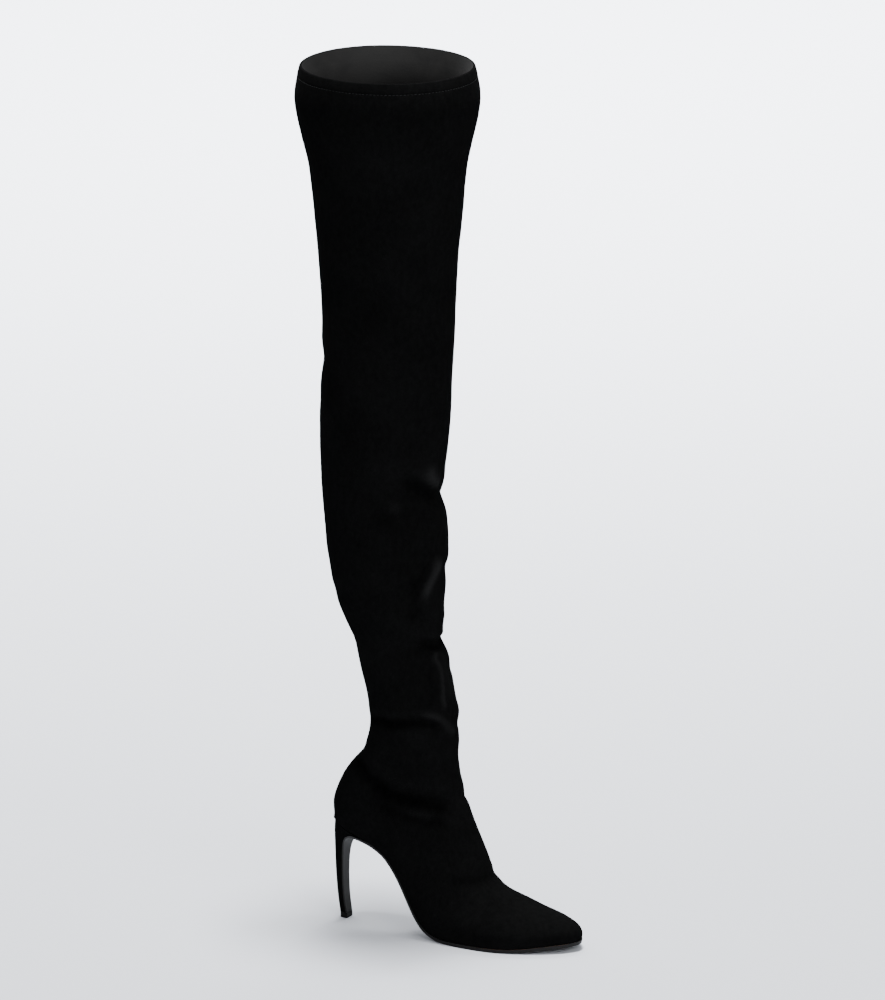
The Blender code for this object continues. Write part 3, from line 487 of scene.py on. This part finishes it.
def zip_fabric():
    """Woven nylon tape: fine ribs across and along."""
    finish = Finish("zip_fabric", Sheen_Weight=0.02, Sheen_Roughness=0.5, Specular_IOR_Level=0.08)
    ribs = finish.node("ShaderNodeTexWave", {"bands_direction": "Z"},
                       {"Vector": finish.place(), "Scale": 520.0, "Distortion": 0.4})
    wales = finish.node("ShaderNodeTexWave", {"bands_direction": "X"},
                        {"Vector": finish.place(), "Scale": 420.0, "Distortion": 0.3})
    weave = ribs * 0.6 + wales * 0.4
    finish.varied("Base Color", finish.colours(weave, grey(0.003), grey(0.010, COOL)))
    finish.varied("Roughness", 0.85 - weave * 0.2)
    finish.relief((weave, 0.00012))
    return finish.material


def nylon():
    """Black nylon of the zip's coil."""
    finish = Finish("zip_nylon", Specular_IOR_Level=0.20, Coat_Weight=0.02, Coat_Roughness=0.3)
    cloud = finish.noise(0.001, 2.0)
    finish.varied("Base Color", finish.colours(cloud, grey(0.006), grey(0.014, COOL)))
    finish.varied("Roughness", 0.34 + cloud * 0.15)
    finish.relief((cloud, 0.00002))
    return finish.material


def thread():
    """Twisted black thread."""
    finish = Finish("black_thread", Sheen_Weight=0.03, Sheen_Roughness=0.4, Specular_IOR_Level=0.12)
    twist = finish.node("ShaderNodeTexWave", {"bands_direction": "DIAGONAL"},
                        {"Vector": finish.place(), "Scale": 700.0, "Distortion": 0.2})
    finish.varied("Base Color", finish.colours(twist, grey(0.003), grey(0.012, COOL)))
    finish.varied("Roughness", 0.62 + twist * 0.2)
    finish.relief((twist, 0.00006))
    return finish.material


def plated_metal(name, level, rough):
    """Plated metal with a brushed, lightly handled surface."""
    finish = Finish(name, Metallic=1.0)
    cloud = finish.noise(0.002, 3.0)
    brush = finish.noise(0.0004, 2.0, 0.6, finish.place((1.0, 1.0, 0.15)))
    finish.varied("Base Color", finish.colours(cloud, grey(level, COOL), grey(level * 1.2, COOL)))
    finish.varied("Roughness", rough + cloud * 0.12 + brush * 0.08)
    finish.relief((brush, 0.00001))
    return finish.material


def studio_floor():
    """Pale seamless paper."""
    finish = Finish("studio_paper", Specular_IOR_Level=0.2)
    cloud = finish.noise(0.9, 2.0)
    finish.varied("Base Color", finish.colours(cloud, grey(0.56, COOL), grey(0.58, COOL)))
    finish.varied("Roughness", 0.78 + cloud * 0.08)
    return finish.material


def take(obj):
    """Leaves the object as the only one selected, and active."""
    bpy.ops.object.select_all(action="DESELECT")
    obj.select_set(True)
    bpy.context.view_layer.objects.active = obj


def open_mesh(obj, kind):
    """Edit mode on the object with nothing selected; kind is VERT, EDGE or FACE."""
    take(obj)
    bpy.ops.object.mode_set(mode="EDIT")
    bpy.ops.mesh.select_mode(type=kind)
    bpy.ops.mesh.select_all(action="DESELECT")


def close_mesh():
    bpy.ops.object.mode_set(mode="OBJECT")


def pick(obj, kind, parts):
    """Edit mode with just these edges or faces selected."""
    chosen = [part.index for part in parts]
    open_mesh(obj, kind)
    close_mesh()
    everything = obj.data.edges if kind == "EDGE" else obj.data.polygons
    for index in chosen:
        everything[index].select = True
    bpy.ops.object.mode_set(mode="EDIT")


def apply(obj, kind, **settings):
    take(obj)
    modifier = obj.modifiers.new(kind.lower(), kind)
    for name, value in settings.items():
        setattr(modifier, name, value)
    bpy.ops.object.modifier_apply(modifier=modifier.name)


def copy_of(node, name):
    """The node's solid under a new name, its loose triangles joined into smooth quads."""
    mesh = frame["nodes"][node].data.copy()
    mesh.materials.clear()
    obj = bpy.data.objects.new(name, mesh)
    bpy.context.scene.collection.objects.link(obj)
    open_mesh(obj, "VERT")
    bpy.ops.mesh.select_all(action="SELECT")
    bpy.ops.mesh.remove_doubles(threshold=JOIN_DISTANCE)
    bpy.ops.mesh.tris_convert_to_quads(face_threshold=math.radians(QUAD_ANGLE),
                                    shape_threshold=math.radians(QUAD_SKEW))
    bpy.ops.mesh.customdata_custom_splitnormals_clear()
    close_mesh()
    bpy.ops.object.shade_smooth()
    return obj


def keep_rims(obj, angle):
    """Edges sharper than the angle stay crisp when the mesh is rounded."""
    open_mesh(obj, "EDGE")
    bpy.ops.mesh.edges_select_sharp(sharpness=math.radians(angle))
    bpy.ops.transform.edge_crease(value=1.0)
    bpy.ops.mesh.mark_sharp()
    close_mesh()


def rounded(node, name, angle, levels, edge, segments=3):
    """A node's solid with its surfaces rounded and its edges eased by the given width."""
    obj = copy_of(node, name)
    keep_rims(obj, angle)
    if levels:
        apply(obj, "SUBSURF", levels=levels, render_levels=levels)
    apply(obj, "BEVEL", width=edge, segments=segments, limit_method="ANGLE",
          angle_limit=math.radians(angle), harden_normals=False)
    take(obj)
    bpy.ops.object.shade_smooth_by_angle(angle=math.radians(angle + SOFTER))
    return obj


def paint(obj, *finishes):
    for finish in finishes:
        obj.data.materials.append(finish)


def set_part(obj, faces, slot):
    """Gives the faces the material in this slot of the object."""
    pick(obj, "FACE", faces)
    obj.active_material_index = slot
    bpy.ops.object.material_slot_assign()
    close_mesh()


def place_of(mesh):
    """Vertex places as rows of three numbers."""
    flat = np.empty(3 * len(mesh.vertices))
    mesh.vertices.foreach_get("co", flat)
    return flat.reshape(-1, 3)


def put(mesh, places):
    mesh.vertices.foreach_set("co", places.ravel())
    mesh.update()


def tree_of(obj):
    mesh = obj.data
    return BVHTree.FromPolygons([v.co for v in mesh.vertices], [p.vertices for p in mesh.polygons])


def smooth_step(share):
    share = np.clip(share, 0.0, 1.0)
    return share * share * (3.0 - 2.0 * share)


def curve_through(points, steps):
    """Smooth line through the points, with the given steps from each to the next."""
    points = np.array(points, float)
    line = []
    for k in range(len(points) - 1):
        start, end = points[k], points[k + 1]
        slope_in = 0.5 * (end - points[max(k - 1, 0)])
        slope_out = 0.5 * (points[min(k + 2, len(points) - 1)] - start)
        for step in range(steps):
            f = step / steps
            bend = 3.0 * (end - start) - 2.0 * slope_in - slope_out
            rest = 2.0 * (start - end) + slope_in + slope_out
            line.append(start + f * (slope_in + f * (bend + f * rest)))
    return line + [points[-1]]


def on_leg(tree, turn, height):
    """Place on the boot's skin at this turn around the leg and this height."""
    way = Vector((math.cos(math.radians(turn)), math.sin(math.radians(turn)), 0.0))
    middle = Vector((LEG_MIDDLE, BESIDE_EDGE, height))
    return np.array(tree.ray_cast(middle + way * SIGHT, -way)[0])


def nearest_on(line, places):
    """For each place: its distance to the line, how far along the nearest point is and how far above."""
    best = np.full(len(places), 1.0)
    along = np.zeros(len(places))
    above = np.zeros(len(places))
    run = 0.0
    for start, end in zip(line[:-1], line[1:]):
        span = end - start
        length = float(np.linalg.norm(span))
        if length < 1e-7:
            continue
        share = np.clip((places - start) @ span / length ** 2, 0.0, 1.0)
        away = places - (start + share[:, None] * span)
        distance = np.linalg.norm(away, axis=1)
        nearer = distance < best
        best = np.where(nearer, distance, best)
        along = np.where(nearer, run + share * length, along)
        above = np.where(nearer, away[:, 2], above)
        run += length
    return best, along, run - along, above


def crease_push(crease, tree, places):
    """How far the crease's line, and the swell above it, each move a place outward, in metres."""
    width = MILLIMETRE * crease.width
    line = [on_leg(tree, turn, share * COLLAR) for turn, share in curve_through(crease.line, LINE_STEPS)]
    reach = REACH * width
    low = np.min(line, axis=0) - reach
    high = np.max(line, axis=0) + reach
    near = np.all((places > low) & (places < high), axis=1)
    pushes = np.zeros((2, len(places)))
    distance, along, left, above = nearest_on(line, places[near])
    fade = smooth_step(along / (FADE * width)) * smooth_step(left / (FADE * width))
    trough = np.exp(-(distance / width) ** 2)
    swell = np.exp(-((distance - SWELL_AWAY * width) / (SWELL_WIDTH * width)) ** 2)
    swell *= smooth_step(above / (SWELL_RISE * width))
    pushes[0, near] = -MILLIMETRE * fade * crease.depth * trough
    pushes[1, near] = MILLIMETRE * fade * crease.lift * swell
    return pushes


def slack_push(places):
    """Soft unevenness of suede that has been worn."""
    push = []
    for place in places:
        point = Vector(place)
        broad = noise.noise(point / SLACK_WAVE)
        fine = noise.noise(point / (FINE_WAVE * SLACK_WAVE) + Vector(FINE_SHIFT))
        push.append(SLACK * (broad + FINE_SLACK * fine))
    return np.array(push)


def ways_out(mesh):
    """Way out of the leg at each vertex, for the outside and the lining alike."""
    corners = np.empty(len(mesh.loops), int)
    mesh.loops.foreach_get("vertex_index", corners)
    normals = np.empty(3 * len(mesh.polygons))
    mesh.polygons.foreach_get("normal", normals)
    counts = np.empty(len(mesh.polygons), int)
    mesh.polygons.foreach_get("loop_total", counts)
    slots = np.empty(len(mesh.polygons), int)
    mesh.polygons.foreach_get("material_index", slots)
    sign = np.select([slots == OUTSIDE, slots == LINING], [1.0, -1.0], 0.0)
    ways = np.zeros((len(mesh.vertices), 3))
    np.add.at(ways, corners, np.repeat(normals.reshape(-1, 3) * sign[:, None], counts, axis=0))
    lengths = np.linalg.norm(ways, axis=1)
    return ways / np.maximum(lengths, 1e-9)[:, None]


def zip_middle(height):
    """Middle of the zip seen from the side, at this height."""
    drop = max(ZIP_TOP_HEIGHT - height, 0.0) / (ZIP_TOP_HEIGHT - ZIP_LOW_HEIGHT)
    return ZIP_TOP_X + ZIP_SWEEP * drop ** ZIP_CURVE


def zip_places(skin, first, last, pitch):
    """Places down the middle of the zip, each with its ways out of the leg, down and across."""
    places = []
    for k in range(int((first - last) / pitch) + 1):
        height = first - k * pitch
        x = zip_middle(height)
        back, front = [skin.ray_cast(Vector((x + side, ZIP_SIGHT, height)), Vector((0.0, -1.0, 0.0)))
                       for side in (-ZIP_HALF, ZIP_HALF)]
        out = (back[1] + front[1]).normalized()
        below = zip_middle(height - MILLIMETRE)
        down = Vector((below - x, 0.0, -MILLIMETRE))
        down = (down - out * down.dot(out)).normalized()
        places.append((0.5 * (back[0] + front[0]), out, down, down.cross(out).normalized()))
    return places


def calm_near_zip(skin, places):
    """1 away from the zip, 0 on the leather that its tape holds flat."""
    line = [np.array(place[0]) for place in zip_places(skin, ZIP_TOP_HEIGHT, ZIP_LOW_HEIGHT, CALM_STEP)]
    distance = nearest_on(line, places)[0]
    return smooth_step((distance - ZIP_FLAT) / ZIP_CALM)


def tuck_toe(obj):
    """Curves the lower end of the toe back, so that it overhangs the sole's tip a little."""
    places = place_of(obj.data)
    ahead = smooth_step((places[:, 0] - TOE + TUCK_LENGTH) / TUCK_LENGTH)
    low = smooth_step((TUCK_HEIGHT - places[:, 2]) / TUCK_HEIGHT)
    places[:, 0] -= TUCK * ahead * low
    put(obj.data, places)


def cut_level(obj, heights):
    """Adds a ring of edges at each height."""
    for height in heights:
        open_mesh(obj, "EDGE")
        bpy.ops.mesh.select_all(action="SELECT")
        bpy.ops.mesh.bisect(plane_co=(0.0, 0.0, height), plane_no=(0.0, 0.0, 1.0))
        close_mesh()


def cut_beside_back_seam(obj):
    """Adds an edge on each side of the back seam, up the back of the leg."""
    for side in (-1.0, 1.0):
        behind = [face for face in obj.data.polygons
                  if face.center.x < LEG_MIDDLE and abs(face.center.y) < BACK_STRIP and face.center.z > SEAT]
        pick(obj, "FACE", behind)
        bpy.ops.mesh.bisect(plane_co=(0.0, side * BACK_SEAM, 0.0), plane_no=(0.0, 1.0, 0.0))
        close_mesh()


def part_the_wall(obj):
    """Gives the outside, the lining and the cut edges of the wall their own slots."""
    set_part(obj, obj.data.polygons, CUT_EDGE)
    middle = Vector((LEG_MIDDLE + BESIDE_EDGE, 0.0, 0.5 * COLLAR))
    for start, way, slot in ((middle, Vector((0.0, -1.0, 0.0)), LINING),
                             (middle + Vector((0.0, -SIGHT, 0.0)), Vector((0.0, 1.0, 0.0)), OUTSIDE)):
        face = obj.ray_cast(start, way)[3]
        pick(obj, "FACE", [obj.data.polygons[face]])
        bpy.ops.mesh.select_linked(delimit={"SHARP"})
        obj.active_material_index = slot
        bpy.ops.object.material_slot_assign()
        close_mesh()


def make_upper(finish, lining):
    upper = copy_of("upper", "suede_upper")
    edges = upper.data.edges
    corners = upper.data.vertices
    long = [e for e in edges if (corners[e.vertices[0]].co - corners[e.vertices[1]].co).length > LONG_EDGE]
    pick(upper, "EDGE", long)
    bpy.ops.mesh.subdivide(number_cuts=2, smoothness=1.0)
    close_mesh()
    keep_rims(upper, RIM_ANGLE)
    paint(upper, finish, lining, finish)
    part_the_wall(upper)
    apply(upper, "SUBSURF", levels=2, render_levels=2)
    cut_level(upper, [COLLAR - HEM, COLLAR - COLLAR_SEAM - SEAM_CUT, COLLAR - COLLAR_SEAM,
                      COLLAR - COLLAR_SEAM + SEAM_CUT, COLLAR - RIM_CUT])
    cut_beside_back_seam(upper)
    wear(upper)
    tuck_toe(upper)
    take(upper)
    bpy.ops.object.shade_smooth_by_angle(angle=math.radians(SMOOTH_ANGLE))
    return upper


def wear(upper):
    """Creases, slack, the turned edge at the collar and the back seam, on both faces of the wall, and the
    mark for the painted shade and highlight of the creases.
    """
    mesh = upper.data
    skin = tree_of(frame["nodes"]["upper"])
    ways = ways_out(mesh)
    places = place_of(mesh)
    lined = np.zeros(len(places), bool)
    for face in mesh.polygons:
        if face.material_index == LINING:
            lined[list(face.vertices)] = True
    outside = places + ways * np.where(lined, WALL, 0.0)[:, None]
    creased = np.zeros((2, len(places)))
    for crease in CREASES:
        creased += crease_push(crease, skin, outside)
    free = free_to_crease(skin, outside)
    # painted shade in the creases and painted highlight on their ridges and swells
    paint_fold_shade_and_highlight(mesh, (creased[0] + SWELL_PAINTED_HIGHLIGHT * creased[1]) * free)
    push = (creased.sum(axis=0) + slack_push(outside)) * free
    push += hem_push(outside, lined) + back_seam_push(outside, lined) - seat_draw(outside, lined)
    put(mesh, places + ways * push[:, None])


def free_to_crease(skin, places):
    """1 on soft suede, and 0 on the stiff heel, low on the foot, beside the zip and at the collar."""
    height = places[:, 2]
    leg = smooth_step((height - SEAT - STIFF_HEEL) / STIFF_END)
    vamp = smooth_step((places[:, 0] - VAMP_START) / VAMP_END) * smooth_step((height - VAMP_LOW) / VAMP_END)
    return np.maximum(leg, vamp) * calm_near_zip(skin, places) * smooth_step((COLLAR - height) / COLLAR_CALM)


def paint_fold_shade_and_highlight(mesh, creased):
    """Keeps on the mesh the painted shade and highlight for the suede's colour: darker in creases, lighter on
    ridges.
    """
    mark = mesh.attributes.new(PAINTED_FOLD_LIGHT, "FLOAT", "POINT")
    painted_shade = FOLD_PAINTED_SHADE * np.clip(-creased / FOLD_DEPTH, 0.0, 1.0)
    painted_highlight = RIDGE_PAINTED_HIGHLIGHT * np.clip(creased / RIDGE_HEIGHT, 0.0, 1.0) ** RIDGE_POWER
    mark.data.foreach_set("value", painted_highlight - painted_shade)


def hem_push(places, lined):
    """The collar's edge is turned in and sewn: a little thicker, drawn in along its stitches."""
    below = COLLAR - places[:, 2]
    thicker = HEM_THICKER * smooth_step((HEM - below) / HEM_STEP) * smooth_step(below / RIM_EASE)
    drawn = SEAM_DRAWN * np.exp(-((below - COLLAR_SEAM) / SEAM_HALF) ** 2)
    return np.where(lined, 0.0, thicker - drawn)


def seat_draw(places, lined):
    """How far the leather's lower edge is drawn in around the heel's seat, beside its back seam."""
    low = smooth_step((SEAT + SEAT_STRIP - places[:, 2]) / SEAT_STRIP)
    behind = smooth_step((SEAT_LENGTH - places[:, 0]) / SEAT_FADE)
    beside = smooth_step((np.abs(places[:, 1]) - SEAT_BESIDE) / SEAT_SIDE)
    return SEAT_DRAWN * low * behind * beside * ~lined


def back_seam_push(places, lined):
    """A fine closed seam up the back of the shaft."""
    shaft = smooth_step((places[:, 2] - SEAT - BACK_SEAM_START) / BACK_SEAM_FADE)
    behind = shaft * (places[:, 0] < LEG_MIDDLE) * ~lined
    groove = np.exp(-(places[:, 1] / (GROOVE_WIDTH * BACK_SEAM)) ** 2)
    swell = np.exp(-((np.abs(places[:, 1]) - SWELL_BESIDE * BACK_SEAM) / BACK_SEAM) ** 2)
    return behind * (BACK_SWELL * swell - BACK_GROOVE * groove)


def make_outsole(leather, edge, tan):
    """Sole leather with a painted edge, and the tan feather line that shows above it at the toe."""
    outsole = rounded("outsole", "leather_outsole", EDGE_ANGLE, 2, SOLE_EASE, 2)
    tuck_toe(outsole)
    paint(outsole, leather, edge, tan)
    sides = [face for face in outsole.data.polygons
             if abs(face.normal.y) + max(face.normal.x, 0.0) * (face.center.x > TOE - EDGE_TIP) > EDGE_STEEP
             and face.normal.z > -0.8]
    set_part(outsole, sides, 1)
    upward = [face for face in outsole.data.polygons
              if 0.25 < face.normal.z < 0.9 and face.center.x > TOE - FEATHER_LENGTH]
    set_part(outsole, upward, 2)
    return outsole


def make_heel(finish):
    """The heel, its top closed up against the upper."""
    heel = rounded("heel", "suede_heel", HEEL_ANGLE, 2, HEEL_EASE)
    places = place_of(heel.data)
    places[:, 2] += SEAT_LIFT * smooth_step((places[:, 2] - SEAT + SEAT_LIFT_STRIP) / SEAT_LIFT_STRIP)
    put(heel.data, places)
    paint(heel, finish)
    return heel


def make_heel_tip(finish):
    tip = rounded("heel_tip", "heel_top_piece", EDGE_ANGLE, 2, TIP_EASE)
    paint(tip, finish)
    return tip


def make_insole(finish):
    insole = rounded("insole", "insole_sock", EDGE_ANGLE, 2, INSOLE_EASE)
    tuck_toe(insole)
    paint(insole, finish)
    return insole


def make_tape(finish, places):
    """The zip's tape, its coil's core a little lower than the teeth that stand on it."""
    tape = rounded("zip", "zip_tape", EDGE_ANGLE, 1, TAPE_EASE, 2)
    mesh = tape.data
    for vert in mesh.vertices:
        middle, out = min(places, key=lambda place: abs(place[0].z - vert.co.z))[:2]
        if (middle - vert.co).dot(out) < TAPE_DEPTH:
            vert.co -= out * CORE_DROP
    mesh.update()
    paint(tape, finish)
    return tape


def bead(name, length, width, segments, rings):
    """A rounded bar lying along X, to be repeated."""
    bpy.ops.object.select_all(action="DESELECT")
    bpy.ops.mesh.primitive_uv_sphere_add(segments=segments, ring_count=rings, radius=0.5, location=(0, 0, 0))
    made = bpy.context.object
    made.name = name
    bpy.ops.object.mode_set(mode="EDIT")
    bpy.ops.mesh.select_all(action="SELECT")
    turned = Vector((0.0, 0.0, 0.0))
    bpy.ops.transform.rotate(value=math.radians(90.0), orient_axis="Y", center_override=turned)
    bpy.ops.transform.resize(value=(length, width, width), center_override=turned)
    close_mesh()
    bpy.ops.object.shade_smooth()
    return made


def repeat(pattern, name, matrices, finish):
    """Copies of the pattern, each with its own mesh, joined into one piece."""
    copies = []
    for matrix in matrices:
        copy = bpy.data.objects.new(name, pattern.data.copy())
        copy.data.transform(matrix)
        bpy.context.scene.collection.objects.link(copy)
        copies.append(copy)
    bpy.ops.object.select_all(action="DESELECT")
    for copy in copies:
        copy.select_set(True)
    bpy.context.view_layer.objects.active = copies[0]
    bpy.ops.object.join()
    made = bpy.context.object
    made.name = name
    made.data.materials.clear()
    made.data.materials.append(finish)
    return made


def lay(along, out, place):
    """Matrix that lays a bead along a way, on a surface that faces out."""
    along = (along - out * along.dot(out)).normalized()
    matrix = Matrix((along, out.cross(along), out)).transposed().to_4x4()
    matrix.translation = place
    return matrix


def make_teeth(finish, skin):
    """Interlocked turns of the coil on both sides of the zip, parted a little above the slider."""
    tooth = bead("tooth", TOOTH_LENGTH, TOOTH_WIRE, 8, 6)
    slider = 0.5 * (SLIDER_LOW.z + SLIDER_HIGH.z)
    matrices = []
    for side in (-1.0, 1.0):
        first = ZIP_TOP_HEIGHT - END_TOOTH - (0.25 + 0.25 * side) * TOOTH_PITCH
        for middle, out, down, across in zip_places(skin, first, ZIP_LOW_HEIGHT + END_TOOTH, TOOTH_PITCH):
            parted = float(smooth_step((middle.z - slider) / PARTING))
            aside = side * (TOOTH_ASIDE + TOOTH_PARTED * parted)
            slant = (across + down * (TOOTH_SLANT * side)).normalized()
            place = middle + across * aside - out * (TOOTH_SINK + 0.5 * TOOTH_WIRE)
            matrices.append(lay(slant, out, place))
    teeth = repeat(tooth, "zip_teeth", matrices, finish)
    bpy.data.objects.remove(tooth)
    return teeth


def sewn(worn, line, outs):
    """Stitches along a line of places near the worn skin."""
    matrices = []
    for k in range(len(line) - 1):
        start, end = line[k], line[k + 1]
        hit = worn.find_nearest(0.5 * (start + end))
        out = hit[1] if hit[1].dot(outs[k]) > 0 else -hit[1]
        place = hit[0] + out * (STITCH_RISE * THREAD)
        matrices.append(lay(end - start, out, place))
    return matrices


def make_zip_stitches(finish, skin, worn):
    """Two rows of stitches down the zip, joined across its ends, and a bar tack over the top."""
    stitch = bead("stitch", STITCH, THREAD, 8, 6)
    matrices = []
    ends = []
    places = zip_places(skin, ZIP_TOP_HEIGHT + ZIP_SEAM_END, ZIP_LOW_HEIGHT - ZIP_SEAM_END, STITCH_PITCH)
    for side in (-1.0, 1.0):
        line = [middle + across * (side * ZIP_SEAM) for middle, out, down, across in places]
        matrices += sewn(worn, line, [place[1] for place in places])
        ends.append((line[0], line[-1]))
    for k in (0, 1):
        start, end = ends[0][k], ends[1][k]
        out = places[-k][1]
        line = [start.lerp(end, step / END_STITCHES) for step in range(END_STITCHES + 1)]
        matrices += sewn(worn, line, [out] * END_STITCHES)
    middle, out, down, across = places[0]
    for k in range(TACK_THREADS):
        place = middle + across * (TACK_PITCH * (k - TACK_THREADS // 2)) + down * TACK_DROP
        matrices += sewn(worn, [place - down * TACK_HALF, place + down * TACK_HALF], [out])
    seam = repeat(stitch, "zip_stitches", matrices, finish)
    bpy.data.objects.remove(stitch)
    return seam


def make_collar_stitches(finish, worn):
    """One row of stitches around the turned edge of the collar."""
    stitch = bead("stitch", STITCH, THREAD, 8, 6)
    height = COLLAR - COLLAR_SEAM
    line = []
    for k in range(SEAM_STEPS + 1):
        line.append(Vector(on_leg(worn, 360.0 * k / SEAM_STEPS, height)))
    run = [0.0]
    for start, end in zip(line[:-1], line[1:]):
        run.append(run[-1] + (end - start).length)
    count = int(run[-1] / STITCH_PITCH)
    places = []
    for k in range(count + 1):
        target = run[-1] * k / count
        index = min(int(np.searchsorted(run, target)), len(line) - 1)
        places.append(line[index])
    outs = [Vector((place.x - LEG_MIDDLE, place.y, 0.0)) for place in places]
    seam = repeat(stitch, "collar_stitches", sewn(worn, places, outs), finish)
    bpy.data.objects.remove(stitch)
    return seam


def make_slider(finish):
    slider = rounded("zip_slider", "metal_slider", SLIDER_ANGLE, 0, SLIDER_EASE)
    paint(slider, finish)
    return slider


def make_pull(finish):
    pull = copy_of("zip_pull", "metal_pull")
    apply(pull, "SUBSURF", levels=2, render_levels=2)
    paint(pull, finish)
    return pull


def make_floor(finish):
    bpy.ops.object.select_all(action="DESELECT")
    bpy.ops.mesh.primitive_plane_add(size=FLOOR_SIZE, location=(0.0, 0.0, 0.0))
    floor = bpy.context.object
    floor.name = "studio_floor"
    paint(floor, finish)


def make_light(light):
    lamp = bpy.data.lights.new(light.name, "AREA")
    lamp.shape = "SQUARE"
    lamp.size = light.size
    lamp.energy = light.power
    lamp.spread = math.radians(light.cone)
    lamp.color = LIGHT_COLOUR
    obj = bpy.data.objects.new(light.name, lamp)
    obj.location = light.place
    obj.rotation_euler = (Vector(light.target) - Vector(light.place)).to_track_quat("-Z", "Y").to_euler()
    bpy.context.scene.collection.objects.link(obj)


def light_the_studio():
    world = bpy.data.worlds.new("studio")
    world.use_nodes = True
    sky = world.node_tree.nodes["Background"]
    sky.inputs["Color"].default_value = SKY
    sky.inputs["Strength"].default_value = SKY_STRENGTH
    bpy.context.scene.world = world
    for light in LIGHTS:
        make_light(light)


def make_camera():
    """Long lens at the photograph's angle, framing the whole boot."""
    azimuth, elevation = math.radians(AZIMUTH), math.radians(ELEVATION)
    back = Vector((math.sin(azimuth) * math.cos(elevation), -math.cos(azimuth) * math.cos(elevation),
                   math.sin(elevation)))
    right = Vector((math.cos(azimuth), math.sin(azimuth), 0.0))
    up = back.cross(right)
    spans = []
    for way in (right, up):
        shown = [way.dot(Vector(vert.co)) for node in frame["nodes"].values() for vert in node.data.vertices]
        spans.append((min(shown), max(shown)))
    middle = right * (0.5 * sum(spans[0])) + up * (0.5 * sum(spans[1]))
    view_height = (spans[1][1] - spans[1][0]) / HEIGHT_SHARE
    lens = bpy.data.cameras.new("camera")
    lens.sensor_width = SENSOR
    lens.lens = SENSOR * CAMERA_DISTANCE / view_height
    lens.clip_end = CLIP_END
    camera = bpy.data.objects.new("camera", lens)
    camera.location = middle + back * CAMERA_DISTANCE
    camera.rotation_euler = (-back).to_track_quat("-Z", "Y").to_euler()
    bpy.context.scene.collection.objects.link(camera)
    bpy.context.scene.camera = camera


def mount(obj, body, slot, *nodes):
    """Puts a finished piece on its body, in the place of the nodes it dresses."""
    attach(obj, body)
    if nodes:
        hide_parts(*nodes)


def main():
    make_camera()
    black = suede("black_suede", 0.0002, 0.0104, 0.00045)
    heel_black = suede("heel_suede", 0.0002, 0.0096, 0.00040)
    sewing = thread()
    skin = tree_of(frame["nodes"]["upper"])
    places = zip_places(skin, ZIP_TOP_HEIGHT, ZIP_LOW_HEIGHT, ZIP_STEP)
    upper = make_upper(black, lining_leather())
    worn = tree_of(upper)
    mount(upper, "boot", "black_suede", "upper")
    mount(make_insole(sock_leather()), "boot", "lining_leather", "insole")
    mount(make_outsole(sole_leather(), edge_paint(), feather_tan()), "boot", "sole_leather", "outsole")
    mount(make_heel(heel_black), "boot", "heel_suede", "heel")
    mount(make_heel_tip(top_piece()), "boot", "top_piece_rubber", "heel_tip")
    mount(make_tape(zip_fabric(), places), "boot", "zip_tape", "zip")
    mount(make_teeth(nylon(), skin), "boot", "zip_tape")
    mount(make_zip_stitches(sewing, skin, worn), "boot", "black_suede")
    mount(make_collar_stitches(sewing, worn), "boot", "black_suede")
    mount(make_slider(plated_metal("slider_plate", 0.26, 0.28)), "boot", "slider_metal", "zip_slider")
    mount(make_pull(plated_metal("pull_plate", 0.22, 0.26)), "zip_pull", "pull_metal", "zip_pull")
    make_floor(studio_floor())
    light_the_studio()


main()
